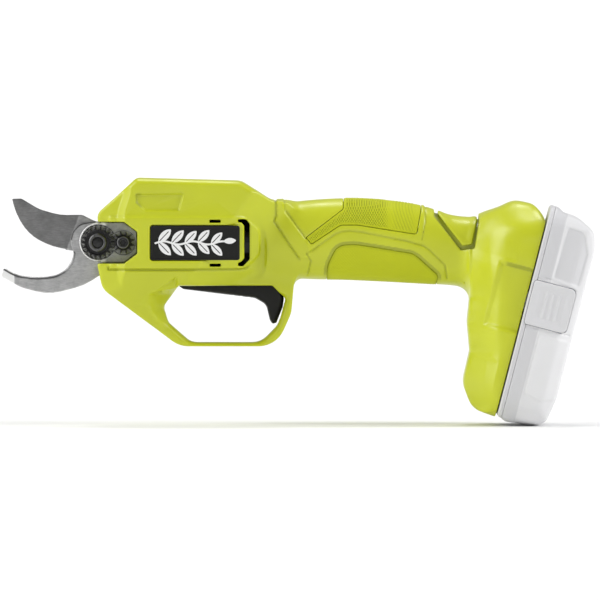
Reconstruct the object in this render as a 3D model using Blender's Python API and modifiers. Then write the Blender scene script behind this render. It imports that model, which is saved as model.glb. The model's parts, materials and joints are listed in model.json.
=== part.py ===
"""Battery electric pruner: housing shells, fixed hook blade and moving blade, bevel drive with a
two stage planetary gearbox, motor, trigger, power button and a slide-on battery pack.

Row frame: +X from the blades to the battery, +Y away from the gear side, +Z up, origin at the
centre of the object's box.  Every size below is in millimetres and is scaled by MM when used.
"""

import math

import bmesh
import bpy
from mathutils import Matrix, Vector

MM = 0.001
GAP = 0.3  # clearance kept between touching pieces

# Main places, as (x, z) on the side view
PIVOT = (-102.0, 30.0)
LOCK_POINT = (-89.0, 30.0)
TRIGGER_PIVOT = (-62.3, 11.2)
DOCK_POINT = (110.6, -18.0)
DOCK_TILT = 14.5  # degrees that the battery's face leans back

WALL = 2.5
HEAD_HALF = 27.0
BASE_HALF = 37.5
PACK_HALF = 39.0
DRIVE_Y = 6.0  # the motor, gearbox and pinion share this axis
DRIVE_Z = PIVOT[1]

# Layers along Y at the blades
CAP_FRONT = -16.2
GEAR_FRONT, GEAR_BACK = -13.8, -11.1
PLATE_FRONT, PLATE_BACK = -10.8, -8.3
HOOK_FRONT, HOOK_BACK = -8.0, -4.5
BLADE_FRONT, BLADE_BACK = -4.2, -1.2
SECTOR_FRONT = -0.9
ARM_FRONT, ARM_BACK = 11.3, 14.0
BOLT_R, BORE_R = 3.0, 3.3

# Gears
ADJUST_TEETH, LOCK_TEETH = 18, 12
ADJUST_MODULE = 2 * (LOCK_POINT[0] - PIVOT[0]) / (ADJUST_TEETH + LOCK_TEETH)
SUN_TEETH, PLANET_TEETH, RING_TEETH = 12, 15, 42
PLANET_MODULE = 0.6
PLANETS = 3
PINION_TEETH, SECTOR_TEETH = 10, 40
BEVEL_MODULE = 0.8
BEVEL_OUT, BEVEL_IN = 16.0, 11.0  # distances from the pivot axis
SECTOR_MIDDLE, SECTOR_SPAN = -22.5, 63.0  # degrees from +X when the blades are open

# Along X on the drive axis
FRAME_FRONT, FRAME_BACK = -84.6, -79.0
GEARBOX_FRONT, GEARBOX_BACK = -78.7, -55.3
GEARBOX_R = 15.0
MOTOR_FRONT, MOTOR_BACK = -55.0, -14.5
MOTOR_R = 14.0

# Battery pack in the dock frame: u out of the tool, v up along the face
STEM_V, STEM_HALF, STEM_LENGTH = 33.0, 12.0, 32.0
CELL_R, CELL_HALF = 9.1, 32.5
CELL_U, CELL_STEP, PACK_MIDDLE = 14.4, 19.4, 13.2
LATCH_U, LATCH_V = (2.0, 24.0), (8.0, 31.0)

SCREWS = {  # name: (x, z)
    "housing_screw_nose_top": (-84.5, 52.3),
    "housing_screw_head_rear": (-31.0, 54.2),
    "housing_screw_grip_front": (5.0, 18.5),
    "housing_screw_grip_middle": (50.0, 17.0),
    "housing_screw_base": (95.5, -38.0),
}
POST_R, SCREW_HEAD_R, SCREW_R = 4.3, 3.1, 1.5
SCREW_SEAT_Y = 8.0

GREEN = (0.60, 0.68, 0.03)
PART_COLOURS = {
    "green_shell": (GREEN, 0.42, 0.0),
    "green_grip": ((0.56, 0.64, 0.03), 0.7, 0.0),
    "black_plastic": ((0.02, 0.02, 0.02), 0.5, 0.0),
    "badge_black": ((0.015, 0.015, 0.015), 0.35, 0.0),
    "blade_steel": ((0.30, 0.30, 0.30), 0.35, 1.0),
    "hook_steel": ((0.55, 0.55, 0.55), 0.3, 1.0),
    "dark_metal": ((0.09, 0.09, 0.09), 0.4, 1.0),
    "gear_steel": ((0.35, 0.35, 0.36), 0.35, 1.0),
    "aluminium": ((0.7, 0.7, 0.72), 0.4, 1.0),
    "motor_steel": ((0.5, 0.5, 0.52), 0.3, 1.0),
    "board_green": ((0.02, 0.18, 0.06), 0.5, 0.0),
    "wire_red": ((0.5, 0.02, 0.02), 0.5, 0.0),
    "wire_black": ((0.02, 0.02, 0.02), 0.5, 0.0),
    "pack_pale": ((0.72, 0.72, 0.73), 0.5, 0.0),
    "cell_wrap": ((0.05, 0.25, 0.5), 0.4, 0.0),
}

DOCK_FRAME = Matrix.Translation((DOCK_POINT[0] * MM, 0, DOCK_POINT[1] * MM)) @ Matrix.Rotation(
    math.radians(DOCK_TILT), 4, "Y"
)
TOOL_FRAME = Matrix.Identity(4)

# How an outline's two numbers and its extrusion lie in space
LIE = {
    "Y": Matrix(((1, 0, 0, 0), (0, 0, -1, 0), (0, 1, 0, 0), (0, 0, 0, 1))),  # outline is (x, z)
    "Z": Matrix.Identity(4),  # outline is (x, y)
    "X": Matrix(((0, 0, 1, 0), (1, 0, 0, 0), (0, 1, 0, 0), (0, 0, 0, 1))),  # outline is (y, z)
}


# ---------------------------------------------------------------- scene and materials
def clear_scene():
    for obj in list(bpy.data.objects):
        bpy.data.objects.remove(obj)


def part_collection():
    made = bpy.data.collections.new("electric_pruner")
    bpy.context.scene.collection.children.link(made)
    return made


def material(slot):
    found = bpy.data.materials.get(slot)
    if found:
        return found
    colour, roughness, metallic = PART_COLOURS[slot]
    made = bpy.data.materials.new(slot)
    made.use_nodes = True
    shader = made.node_tree.nodes["Principled BSDF"]
    shader.inputs["Base Color"].default_value = (*colour, 1.0)
    shader.inputs["Roughness"].default_value = roughness
    shader.inputs["Metallic"].default_value = metallic
    return made


def finished(obj, slot, smooth_angle=35.0):
    """Gives a piece its material and smooth shading, and returns it."""
    obj.data.materials.clear()
    obj.data.materials.append(material(slot))
    obj.data.shade_smooth()
    obj.data.set_sharp_from_angle(angle=math.radians(smooth_angle))
    return obj


def linked(name, mesh):
    obj = bpy.data.objects.new(name, mesh)
    PARTS.objects.link(obj)
    return obj


# ---------------------------------------------------------------- outlines
def rounded(corners, step=40.0):
    """A closed outline from (a, b) or (a, b, radius) corners, each radius turned into an arc."""
    outline = []
    count = len(corners)
    for i, corner in enumerate(corners):
        here = Vector(corner[:2])
        radius = corner[2] if len(corner) > 2 else 0.0
        before = Vector(corners[i - 1][:2]) - here
        after = Vector(corners[(i + 1) % count][:2]) - here
        angle = before.angle(after)
        if radius <= 0 or angle > math.radians(178):
            outline.append(tuple(here))
            continue
        reach = min(radius / math.tan(angle / 2), 0.49 * min(before.length, after.length))
        radius = reach * math.tan(angle / 2)
        start = here + before.normalized() * reach
        centre = here + (before.normalized() + after.normalized()).normalized() * (
            radius / math.sin(angle / 2)
        )
        turn = math.pi - angle
        steps = max(1, round(math.degrees(turn) / step))
        cross = before.x * after.y - before.y * after.x
        sign = 1.0 if cross < 0 else -1.0
        arm = start - centre
        for k in range(steps + 1):
            a = sign * turn * k / steps
            outline.append(
                (
                    centre.x + arm.x * math.cos(a) - arm.y * math.sin(a),
                    centre.y + arm.x * math.sin(a) + arm.y * math.cos(a),
                )
            )
    return outline


def mirrored(half):
    """A closed outline from its half at positive first coordinate."""
    return list(half) + [(-c[0], *c[1:]) for c in reversed(half)]


def inset(corners, distance):
    """The corner list moved inwards by distance on every side, with its radii kept concentric."""
    area = sum(
        a[0] * b[1] - b[0] * a[1] for a, b in zip(corners, corners[1:] + corners[:1], strict=True)
    )
    side = 1.0 if area > 0 else -1.0
    moved = []
    for i, corner in enumerate(corners):
        here = Vector(corner[:2])
        d1 = (here - Vector(corners[i - 1][:2])).normalized()
        d2 = (Vector(corners[(i + 1) % len(corners)][:2]) - here).normalized()
        n1 = Vector((-d1.y, d1.x)) * side
        n2 = Vector((-d2.y, d2.x)) * side
        there = here + (n1 + n2) * (distance / (1.0 + n1.dot(n2)))
        radius = max(0.0, corner[2] - distance) if len(corner) > 2 else 0.0
        moved.append((there.x, there.y, radius))
    return moved


def circle(radius, segments, centre=(0.0, 0.0), start=0.0):
    return [
        (
            centre[0] + radius * math.cos(start + 2 * math.pi * k / segments),
            centre[1] + radius * math.sin(start + 2 * math.pi * k / segments),
        )
        for k in range(segments)
    ]


# ---------------------------------------------------------------- solids
def prism(name, outlines, low, high, axis="Y", frame=TOOL_FRAME):
    """A flat outline, with any hole outlines after it, extruded from low to high along an axis."""
    curve = bpy.data.curves.new(name, "CURVE")
    curve.dimensions = "2D"
    curve.fill_mode = "BOTH"
    curve.extrude = abs(high - low) / 2 * MM
    if not isinstance(outlines[0], list):
        outlines = [outlines]
    for outline in outlines:
        spline = curve.splines.new("POLY")
        spline.points.add(len(outline) - 1)
        for point, (a, b) in zip(spline.points, outline, strict=True):
            point.co = (a * MM, b * MM, 0, 1)
        spline.use_cyclic_u = True
    made = bpy.data.objects.new(name, curve)
    PARTS.objects.link(made)
    middle = (low + high) / 2 * MM
    along = {"X": (middle, 0, 0), "Y": (0, middle, 0), "Z": (0, 0, middle)}[axis]
    made.matrix_world = frame @ Matrix.Translation(along) @ LIE[axis]
    return meshed(made)


def meshed(curve_object):
    """A curve object made a mesh with its caps welded."""
    bpy.context.view_layer.update()
    graph = bpy.context.evaluated_depsgraph_get()
    mesh = bpy.data.meshes.new_from_object(curve_object.evaluated_get(graph))
    name, place = curve_object.name, curve_object.matrix_world.copy()
    bpy.data.objects.remove(curve_object)
    shape = bmesh.new()
    shape.from_mesh(mesh)
    bmesh.ops.remove_doubles(shape, verts=shape.verts, dist=1e-6)
    bmesh.ops.recalc_face_normals(shape, faces=shape.faces)
    shape.to_mesh(mesh)
    shape.free()
    made = linked(name, mesh)
    made.matrix_world = place
    return made


def cylinder(name, radius, low, high, centre, axis="Y", segments=24, frame=TOOL_FRAME):
    """A round bar along an axis; centre holds the two other coordinates, in X, Y, Z order."""
    mesh = bpy.data.meshes.new(name)
    shape = bmesh.new()
    bmesh.ops.create_cone(
        shape,
        cap_ends=True,
        segments=segments,
        radius1=radius * MM,
        radius2=radius * MM,
        depth=(high - low) * MM,
    )
    shape.to_mesh(mesh)
    shape.free()
    made = linked(name, mesh)
    middle = (low + high) / 2
    if axis == "X":
        place = Matrix.Translation(Vector((middle, *centre)) * MM) @ Matrix.Rotation(
            math.pi / 2, 4, "Y"
        )
    elif axis == "Y":
        place = Matrix.Translation(Vector((centre[0], middle, centre[1])) * MM) @ Matrix.Rotation(
            -math.pi / 2, 4, "X"
        )
    else:
        place = Matrix.Translation(Vector((*centre, middle)) * MM)
    made.matrix_world = frame @ place
    return made


def box(name, low, high, frame=TOOL_FRAME, bevel=0.0):
    mesh = bpy.data.meshes.new(name)
    shape = bmesh.new()
    bmesh.ops.create_cube(shape, size=1.0)
    size = (Vector(high) - Vector(low)) * MM
    middle = (Vector(high) + Vector(low)) / 2 * MM
    bmesh.ops.transform(shape, matrix=Matrix.Diagonal((*size, 1.0)), verts=shape.verts)
    shape.to_mesh(mesh)
    shape.free()
    made = linked(name, mesh)
    made.matrix_world = frame @ Matrix.Translation(middle)
    if bevel:
        edge = made.modifiers.new("Bevel", "BEVEL")
        edge.width = bevel * MM
        edge.segments = 1
    return made


def turned(name, profile, centre, axis="Y", steps=24, frame=TOOL_FRAME):
    """A closed (radius, along) profile turned about an axis with a Screw modifier."""
    mesh = bpy.data.meshes.new(name)
    points = [(r * MM, 0, h * MM) for r, h in profile]
    edges = [(i, (i + 1) % len(points)) for i in range(len(points))]
    if profile[0][0] == 0 and profile[-1][0] == 0:
        edges.pop()
    mesh.from_pydata(points, edges, [])
    made = linked(name, mesh)
    screw = made.modifiers.new("Screw", "SCREW")
    screw.steps = screw.render_steps = steps
    screw.use_merge_vertices = True
    screw.merge_threshold = 1e-6
    screw.use_normal_calculate = True
    if axis == "X":
        turn = Matrix.Rotation(math.pi / 2, 4, "Y")
        spot = Vector((0, *centre)) * MM
    elif axis == "Y":
        turn = Matrix.Rotation(-math.pi / 2, 4, "X")
        spot = Vector((centre[0], 0, centre[1])) * MM
    else:
        turn = Matrix.Identity(4)
        spot = Vector((*centre, 0)) * MM
    made.matrix_world = frame @ Matrix.Translation(spot) @ turn
    applied(made)
    shape = bmesh.new()
    shape.from_mesh(made.data)
    bmesh.ops.remove_doubles(shape, verts=shape.verts, dist=1e-7)
    bmesh.ops.recalc_face_normals(shape, faces=shape.faces)
    shape.to_mesh(made.data)
    shape.free()
    return made


def loft(name, rings, frame=TOOL_FRAME):
    """A closed solid through rings of equally many (x, y, z) points, capped at both ends."""
    count = len(rings[0])
    mesh = bpy.data.meshes.new(name)
    points = [tuple(c * MM for c in p) for ring in rings for p in ring]
    faces = [
        (
            k * count + i,
            k * count + (i + 1) % count,
            (k + 1) * count + (i + 1) % count,
            (k + 1) * count + i,
        )
        for k in range(len(rings) - 1)
        for i in range(count)
    ]
    faces.append(tuple(range(count)))
    faces.append(tuple(range((len(rings) - 1) * count, len(rings) * count)))
    mesh.from_pydata(points, [], faces)
    shape = bmesh.new()
    shape.from_mesh(mesh)
    bmesh.ops.recalc_face_normals(shape, faces=shape.faces)
    shape.to_mesh(mesh)
    shape.free()
    made = linked(name, mesh)
    made.matrix_world = frame.copy()
    return made


def tube(name, points, radius, slot):
    """A round wire through smooth points."""
    curve = bpy.data.curves.new(name, "CURVE")
    curve.dimensions = "3D"
    curve.bevel_depth = radius * MM
    curve.bevel_resolution = 2
    curve.use_fill_caps = True
    spline = curve.splines.new("POLY")
    spline.points.add(len(points) - 1)
    for point, place in zip(spline.points, points, strict=True):
        point.co = (*(c * MM for c in place), 1)
    made = bpy.data.objects.new(name, curve)
    PARTS.objects.link(made)
    return finished(meshed(made), slot)


def smooth_route(points, per_span):
    """Points read from a Catmull-Rom curve through the route's own points."""
    route = [Vector(p) for p in points]
    route = [2 * route[0] - route[1], *route, 2 * route[-1] - route[-2]]
    made = []
    for a, b, c, d in zip(route, route[1:], route[2:], route[3:], strict=False):
        for k in range(per_span):
            t = k / per_span
            made.append(
                0.5 * (2 * b + (c - a) * t + (2 * a - 5 * b + 4 * c - d) * t * t
                       + (3 * b - a - 3 * c + d) * t * t * t)
            )
    return [*made, route[-2]]


def applied(obj):
    """The object with its modifiers made part of its mesh."""
    bpy.context.view_layer.update()
    graph = bpy.context.evaluated_depsgraph_get()
    mesh = bpy.data.meshes.new_from_object(obj.evaluated_get(graph))
    obj.modifiers.clear()
    obj.data = mesh
    return obj


def cleaned(obj):
    """The object's mesh without the tiny slivers that a Boolean can leave."""
    shape = bmesh.new()
    shape.from_mesh(obj.data)
    bmesh.ops.dissolve_degenerate(shape, edges=shape.edges, dist=2e-6)
    bmesh.ops.remove_doubles(shape, verts=shape.verts, dist=2e-6)
    shape.to_mesh(obj.data)
    shape.free()


def combined(target, tools, operation):
    for tool in tools:
        join = target.modifiers.new("Boolean", "BOOLEAN")
        join.operation = operation
        join.solver = "EXACT"
        join.object = tool
        cleaned(applied(target))
        bpy.data.objects.remove(tool)
    return target


def cut(target, *tools):
    return combined(target, tools, "DIFFERENCE")


def joined(target, *tools):
    return combined(target, tools, "UNION")


def common(target, *tools):
    return combined(target, tools, "INTERSECT")


def copied(obj, name):
    made = linked(name, obj.data.copy())
    made.matrix_world = obj.matrix_world.copy()
    return made


# ---------------------------------------------------------------- the housing's outer form
HEAD_SIDE = [
    (-102.0, 45.0, 5.0), (-93.0, 53.0, 8.0), (-82.5, 62.8, 4.0), (-29.0, 61.3, 6.0),
    (-12.0, 50.6, 12.0), (4.0, 51.1), (4.0, 11.4), (-1.2, 11.4, 5.0),
    (-3.4, -6.0, 12.0), (-11.0, -23.0, 14.0), (-60.5, -23.0, 14.0), (-99.6, 6.4, 9.0),
    (-102.0, 18.0, 4.0),
]
HEAD_PLAN = mirrored([
    (16.5, -103.0), (24.0, -90.0, 3.0), (27.0, -84.5, 6.0), (27.0, -24.0, 14.0), (15.0, 4.0),
])
HEAD_FRONT = mirrored([
    (20.5, 63.0, 5.0), (27.0, 56.5, 5.0), (27.0, 15.0, 8.0), (12.0, -9.0, 8.0),
    (9.5, -23.2, 3.0),
])
FINGER_OPENING = [
    (-60.8, 8.0, 2.0), (-68.6, -2.8, 4.0), (-66.0, -11.0, 5.0), (-54.5, -21.0, 8.0),
    (-19.0, -21.0, 10.0), (-10.2, -12.0, 8.0), (-6.6, 1.2, 1.5), (-13.0, 8.0, 1.5),
]
HEAD_CAVITY_SIDE = [
    (-99.5, 44.2, 3.0), (-91.5, 51.2, 6.0), (-81.5, 59.6, 3.0), (-30.0, 58.6, 4.0),
    (-12.5, 48.0, 8.0), (-3.0, 47.6), (-3.0, 14.0), (-7.0, 10.6),
    (-62.0, 10.6, 2.0), (-71.5, -2.0, 4.0), (-80.0, -5.0, 4.0), (-96.9, 7.8, 5.0),
    (-99.5, 18.8, 3.0),
]
HANDLE_STATIONS = [  # x, z below, z above, half width
    (-14.0, 13.5, 49.0, 16.5),
    (2.0, 11.4, 51.1, 17.2),
    (24.0, 10.9, 52.4, 17.6),
    (44.0, 10.0, 51.5, 17.4),
    (62.0, 9.0, 48.9, 16.8),
    (80.0, 7.8, 44.0, 17.0),
    (97.0, 5.0, 43.0, 20.0),
]
HANDLE_POWER = 2.5  # how square the grip's section is
NECK_START, NECK_END = -26.0, 4.0  # the head's square section turns into the grip's oval
GRIP_WALL = 4.2  # the grip's wall is thicker, for the pads let into it
BASE_SIDE = [  # in the dock frame, (u, v)
    (0.0, 63.5, 5.0), (-7.5, 68.6, 5.0), (-17.0, 68.0, 9.0), (-31.0, 56.5, 8.0),
    (-33.0, 40.0), (-27.6, 14.0, 4.0), (-25.6, 1.0, 8.0), (-20.6, -13.0, 8.0),
    (-20.2, -29.5, 12.0), (-12.5, -40.5, 10.0), (0.0, -42.0, 1.0),
]
BASE_PLAN = mirrored([  # (y, u)
    (BASE_HALF, 0.5), (BASE_HALF, -12.0, 4.0), (25.0, -21.5, 8.0), (17.0, -36.0),
])
BASE_FACE = mirrored([  # (y, v)
    (BASE_HALF, 69.0, 14.0), (BASE_HALF, -42.5, 14.0),
])
BUTTON_OUTLINE = [(70.6, 50.0), (70.6, 44.6), (84.9, 29.4, 0.8), (88.4, 30.0, 0.8), (90.9, 41.0),
                  (90.9, 50.0)]
BUTTON_POCKET = [(69.4, 52.0), (69.4, 43.4, 1.0), (82.9, 26.2, 1.0), (89.7, 27.4, 1.0),
                 (91.7, 41.0), (91.7, 52.0)]
BUTTON_PIVOT = (91.0, 38.6)
BUTTON_THICK, BUTTON_SINK = 2.4, 2.2  # its wall, and the room it has to tip into
UPPER_GRIP = [(23.2, 60.0), (23.2, 47.0, 2.0), (4.2, 32.6, 0.6), (6.8, 29.2, 0.8),
              (21.5, 38.9, 5.0), (30.0, 39.0, 12.0), (60.4, 34.2, 1.5), (62.6, 47.0), (62.6, 60.0)]
LOWER_GRIP = [(13.8, 0.0), (15.2, 18.5, 8.0), (20.0, 28.6, 7.0), (30.0, 28.9, 14.0),
              (59.0, 24.2, 10.0), (71.5, 13.0, 3.0), (68.0, 0.0)]
GRIP_THICK = 1.4


def handle_station(x):
    """(z below, z above, half width) of the grip at x, between its stations."""
    if x <= HANDLE_STATIONS[0][0]:
        return HANDLE_STATIONS[0][1:]
    for a, b in zip(HANDLE_STATIONS, HANDLE_STATIONS[1:], strict=False):
        if x <= b[0]:
            t = (x - a[0]) / (b[0] - a[0])
            return tuple(p + (q - p) * t for p, q in zip(a[1:], b[1:], strict=True))
    return HANDLE_STATIONS[-1][1:]


def grip_halves(x, depth):
    """Half the grip's width and height at x, made smaller by depth."""
    below, above, half = handle_station(x)
    return half - depth, (above - below) / 2 - depth


def grip_ring(x, wide, tall, sides=20):
    """A squarish oval about the grip's middle at x."""
    below, above, _ = handle_station(x)
    ring = []
    for k in range(sides):
        a = 2 * math.pi * k / sides
        c, s = math.cos(a), math.sin(a)
        ring.append((
            x,
            wide * math.copysign(abs(c) ** (2 / HANDLE_POWER), c),
            (above + below) / 2 + tall * math.copysign(abs(s) ** (2 / HANDLE_POWER), s),
        ))
    return ring


def handle_solid(name, depth, low=HANDLE_STATIONS[0][0], high=HANDLE_STATIONS[-1][0]):
    """The grip as a loft of squarish ovals, made smaller all round by depth."""
    places = [low, *(s[0] for s in HANDLE_STATIONS if low < s[0] < high), high]
    return loft(name, [grip_ring(x, *grip_halves(x, depth)) for x in places])


def head_solid():
    body = prism("head", rounded(HEAD_SIDE), -HEAD_HALF - 1, HEAD_HALF + 1)
    plan = prism("plan", [(x, y) for y, x in rounded(HEAD_PLAN)], -30, 70, "Z")
    front = prism("front", rounded(HEAD_FRONT), -110, 15, "X")
    opening = prism("opening", rounded(FINGER_OPENING), -40, 40)
    neck = loft("neck", [grip_ring(-110.0, 80.0, 90.0), grip_ring(NECK_START, 40.0, 60.0),
                         grip_ring(NECK_END, *grip_halves(NECK_END, 0.0))])
    below = box("below", (-112, -45, -45), (6, 45, 14.0))
    return cut(common(body, plan, front, joined(neck, below)), opening)


def head_cavity():
    body = prism("cavity", rounded(HEAD_CAVITY_SIDE), -HEAD_HALF, HEAD_HALF)
    plan = prism("plan", [(x, y) for y, x in rounded(inset(HEAD_PLAN, WALL))], -30, 70, "Z")
    front = prism("front", rounded(inset(HEAD_FRONT, WALL)), -110, 15, "X")
    return common(body, plan, front)


def base_solid(depth):
    """The battery dock, in the dock frame, made smaller all round by depth."""
    body = prism("base", rounded(inset(BASE_SIDE, depth)), -50, 50, frame=DOCK_FRAME)
    plan = prism("plan", [(u, y) for y, u in rounded(inset(BASE_PLAN, depth))], -60, 80, "Z",
                 DOCK_FRAME)
    face = prism("face", rounded(inset(BASE_FACE, depth)), -50, 10, "X", DOCK_FRAME)
    return common(body, plan, face)


def window_outline(grow):
    """The gear window: a half circle about the pivot with an octagon's end, grown all round."""
    r = 10.3
    corners = [
        (PIVOT[0] - 16, PIVOT[1] + r), (-88.5, PIVOT[1] + r), (-82.0, PIVOT[1] + 5.4),
        (-82.0, PIVOT[1] - 5.4), (-88.5, PIVOT[1] - r), (PIVOT[0] - 16, PIVOT[1] - r),
    ]
    return rounded(inset(corners, -grow))


def cavity_solid():
    """All the space inside the housing, with the posts, ribs and collars left standing."""
    space = joined(head_cavity(), handle_solid("handle_space", GRIP_WALL, -9.0, 96.0))
    dock = base_solid(WALL)
    space = joined(space, dock)
    for x, z in SCREWS.values():
        space = cut(space, cylinder("post", POST_R, -60, 60, (x, z), segments=10))
    ribs = [
        box("rib", (x - 1.2, -40, 5.0), (x + 1.2, 40, 44.0)) for x in (-68.0, -30.0)
    ]
    for rib, radius in zip(ribs, (GEARBOX_R, MOTOR_R), strict=True):
        room = cylinder("room", radius + GAP, -80, -10, (DRIVE_Y, DRIVE_Z), "X", 20)
        lead_way = box("lead_way", (-80, -6, 40.0), (-10, 12, 45.0))
        space = cut(space, cut(rib, room, lead_way))
    space = cut(space, cylinder("boss", 3.3, -10.3, 10.3, TRIGGER_PIVOT, segments=12))
    collar = prism("collar", window_outline(2.2), -40, PLATE_BACK)
    pocket = prism("pocket", rounded(inset(BUTTON_POCKET, -2.0)), -30, 30)
    core = handle_solid("core", BUTTON_THICK + BUTTON_SINK + WALL - 0.5, 60.0, 96.0)
    return cut(space, collar, cut(pocket, core))


def vent_outlines():
    """The curved vent behind the badge and the two short ones above and below it."""
    bracket = [
        (-30.6, 42.0, 0.4), (-26.4, 42.0, 2.4), (-24.6, 39.6, 1.0), (-24.6, 21.6, 1.0),
        (-28.0, 18.0, 0.4), (-30.6, 18.0, 0.4), (-30.6, 19.6), (-28.8, 20.4),
        (-27.4, 22.0), (-27.4, 38.6), (-28.8, 40.4), (-30.6, 40.4),
    ]
    dashes = [
        [(-45.0, z - 0.75), (-39.3, z - 0.75), (-39.3, z + 0.75), (-45.0, z + 0.75)]
        for z in (18.6, 41.0)
    ]
    return [rounded(bracket), *dashes]


def housing_body():
    """Both halves of the housing as one hollow body, before it is parted."""
    body = joined(head_solid(), handle_solid("grip", 0.0), base_solid(0.0))
    body = cut(body, cavity_solid())
    # the way in for the trigger, the blades and the battery
    slot = prism(
        "slot",
        [(-65.6, 15.0), (-65.6, 7.9), (-61.8, 7.9), (-60.0, 3.0), (-14.0, 3.0), (-14.0, -9.0),
         (-7.4, -9.0), (-4.9, 1.0), (-4.9, 15.0)],
        -6.8, 6.8,
    )
    nose_slot = box("nose_slot", (-112, HOOK_FRONT - 0.6, 10.5), (-97, ARM_BACK + 0.4, 46.0))
    stem_way = box("stem_way", (-36, -STEM_HALF - 1.2, STEM_V - STEM_HALF - 1.2),
                   (3, STEM_HALF + 1.2, STEM_V + STEM_HALF + 1.2), DOCK_FRAME)
    pin_hole = cylinder("pin_hole", 1.5 + GAP, -9.8, 9.8, TRIGGER_PIVOT, segments=12)
    body = cut(body, slot, pin_hole, nose_slot, stem_way)
    for side in (-1, 1):
        low, high = sorted((side * 26.6, side * 34.5))
        body = cut(body, box("latch_way", (-4, low, 13.0), (3, high, 26.0), DOCK_FRAME))
    for outline in vent_outlines():
        body = cut(body, prism("vent", outline, -40, 40))
    # shallow seats for the badge, the grips and the power button
    for side in (-1, 1):
        low, high = sorted((side * (HEAD_HALF - 1.3), side * 40.0))
        body = cut(body, prism("badge_seat", rounded(badge_corners(0.35)), low, high))
    for outline in (UPPER_GRIP, LOWER_GRIP):
        seat = prism("seat", rounded(inset(outline, -GAP)), -30, 30)
        core = handle_solid("core", GRIP_THICK + GAP, 0.0, 90.0)
        body = cut(body, cut(seat, core))
    seat = prism("seat", rounded(BUTTON_POCKET), -30, 30)
    core = handle_solid("core", BUTTON_THICK + BUTTON_SINK, 60.0, 96.0)
    stem_hole = box("stem_hole", (77.2, -3.0, 32.0), (83.6, 3.0, 50.0))
    return cut(body, cut(seat, core), stem_hole)


def badge_corners(grow):
    return inset([(-75.0, 21.2, 1.2), (-29.6, 21.2, 1.2), (-29.6, 38.8, 1.2),
                  (-75.0, 38.8, 1.2)], -grow)


def screw_holes(body):
    for x, z in SCREWS.values():
        body = cut(
            body,
            cylinder("hole", SCREW_R + GAP, -9.0, 60.0, (x, z), segments=8),
            cylinder("seat", SCREW_HEAD_R + GAP, SCREW_SEAT_Y, 60.0, (x, z), segments=10),
        )
    return body


def build_housing():
    whole = screw_holes(housing_body())
    right = copied(whole, "housing_right")
    left = whole
    left.name = "housing_left"
    left = common(left, box("side", (-200, -60, -100), (200, -GAP / 2, 100)))
    right = common(right, box("side", (-200, GAP / 2, -100), (200, 60, 100)))
    left = cut(left, prism("window", window_outline(GAP), -40, PLATE_BACK + 1.5))
    right = cut(right, cylinder("nut_window", 7.4, 0, 60, PIVOT, segments=24))
    finished(left, "green_shell")
    finished(right, "green_shell")


def build_grips():
    """Soft grip pads, one over and one under on each shell."""
    for name, outline in (("upper", UPPER_GRIP), ("lower", LOWER_GRIP)):
        pad = prism("pad", rounded(outline), -30, 30)
        pad = common(pad, handle_solid("skin", 0.0, -6.0, 92.0))
        pad = cut(pad, handle_solid("core", GRIP_THICK, -8.0, 96.0))
        left = copied(pad, f"grip_{name}_left")
        pad.name = f"grip_{name}_right"
        common(left, box("side", (-200, -60, -100), (200, -GAP / 2, 100)))
        common(pad, box("side", (-200, GAP / 2, -100), (200, 60, 100)))
        finished(left, "green_grip")
        finished(pad, "green_grip")


def build_badges():
    for name, side in (("badge_left", -1), ("badge_right", 1)):
        low, high = sorted((side * (HEAD_HALF - 1.0), side * (HEAD_HALF + 0.4)))
        plate = prism(name, rounded(badge_corners(0.0)), low, high)
        finished(plate, "badge_black")


# ---------------------------------------------------------------- blades and their pivot
HOOK_OUTLINE = [
    (-79.0, 21.5, 1.0), (-79.0, 38.5, 1.0), (-88.0, 41.5, 4.0), (-97.0, 42.5, 6.0),
    (-106.0, 43.6, 8.0), (-113.4, 38.4, 7.0), (-116.2, 29.5, 8.0), (-113.8, 24.0, 6.0),
    (-116.0, 15.5, 9.0), (-124.0, 12.1, 12.0), (-137.0, 12.1, 30.0), (-144.0, 13.6, 12.0),
    (-149.8, 17.2, 0.7), (-151.2, 12.6, 1.2), (-140.0, 7.2, 20.0), (-127.0, 3.4, 26.0),
    (-109.0, 8.0, 30.0), (-96.0, 16.5, 6.0),
]
BLADE_OUTLINE = [
    (-145.8, 52.0, 0.3), (-141.0, 52.2, 2.0), (-132.0, 46.9, 16.0), (-121.5, 43.9, 24.0),
    (-110.0, 44.0, 2.0), (-104.0, 41.0, 6.0), (-94.5, 39.0, 6.0), (-91.0, 30.0, 8.0),
    (-95.0, 20.8, 8.0), (-104.0, 19.0, 8.0), (-110.5, 25.2, 6.0), (-121.0, 25.6, 20.0),
    (-132.0, 30.4, 30.0), (-141.0, 39.4, 24.0),
]


def pivot_hole():
    return circle(BORE_R, 24, PIVOT)


def build_hook():
    lock_hole = circle(1.95, 16, LOCK_POINT)
    hook = prism("hook_blade", [rounded(HOOK_OUTLINE, 20), pivot_hole(), lock_hole],
                 HOOK_FRONT, HOOK_BACK)
    for z in (PIVOT[1] - 6.5, PIVOT[1] + 6.5):
        cut(hook, cylinder("tang_hole", 1.7, -20, 0, (-82.0, z), segments=12))
        cut(hook, cylinder("tang_sink", 3.1, HOOK_FRONT - 0.2, HOOK_FRONT + 2.0, (-82.0, z),
                           segments=16))
    finished(hook, "hook_steel")


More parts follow.
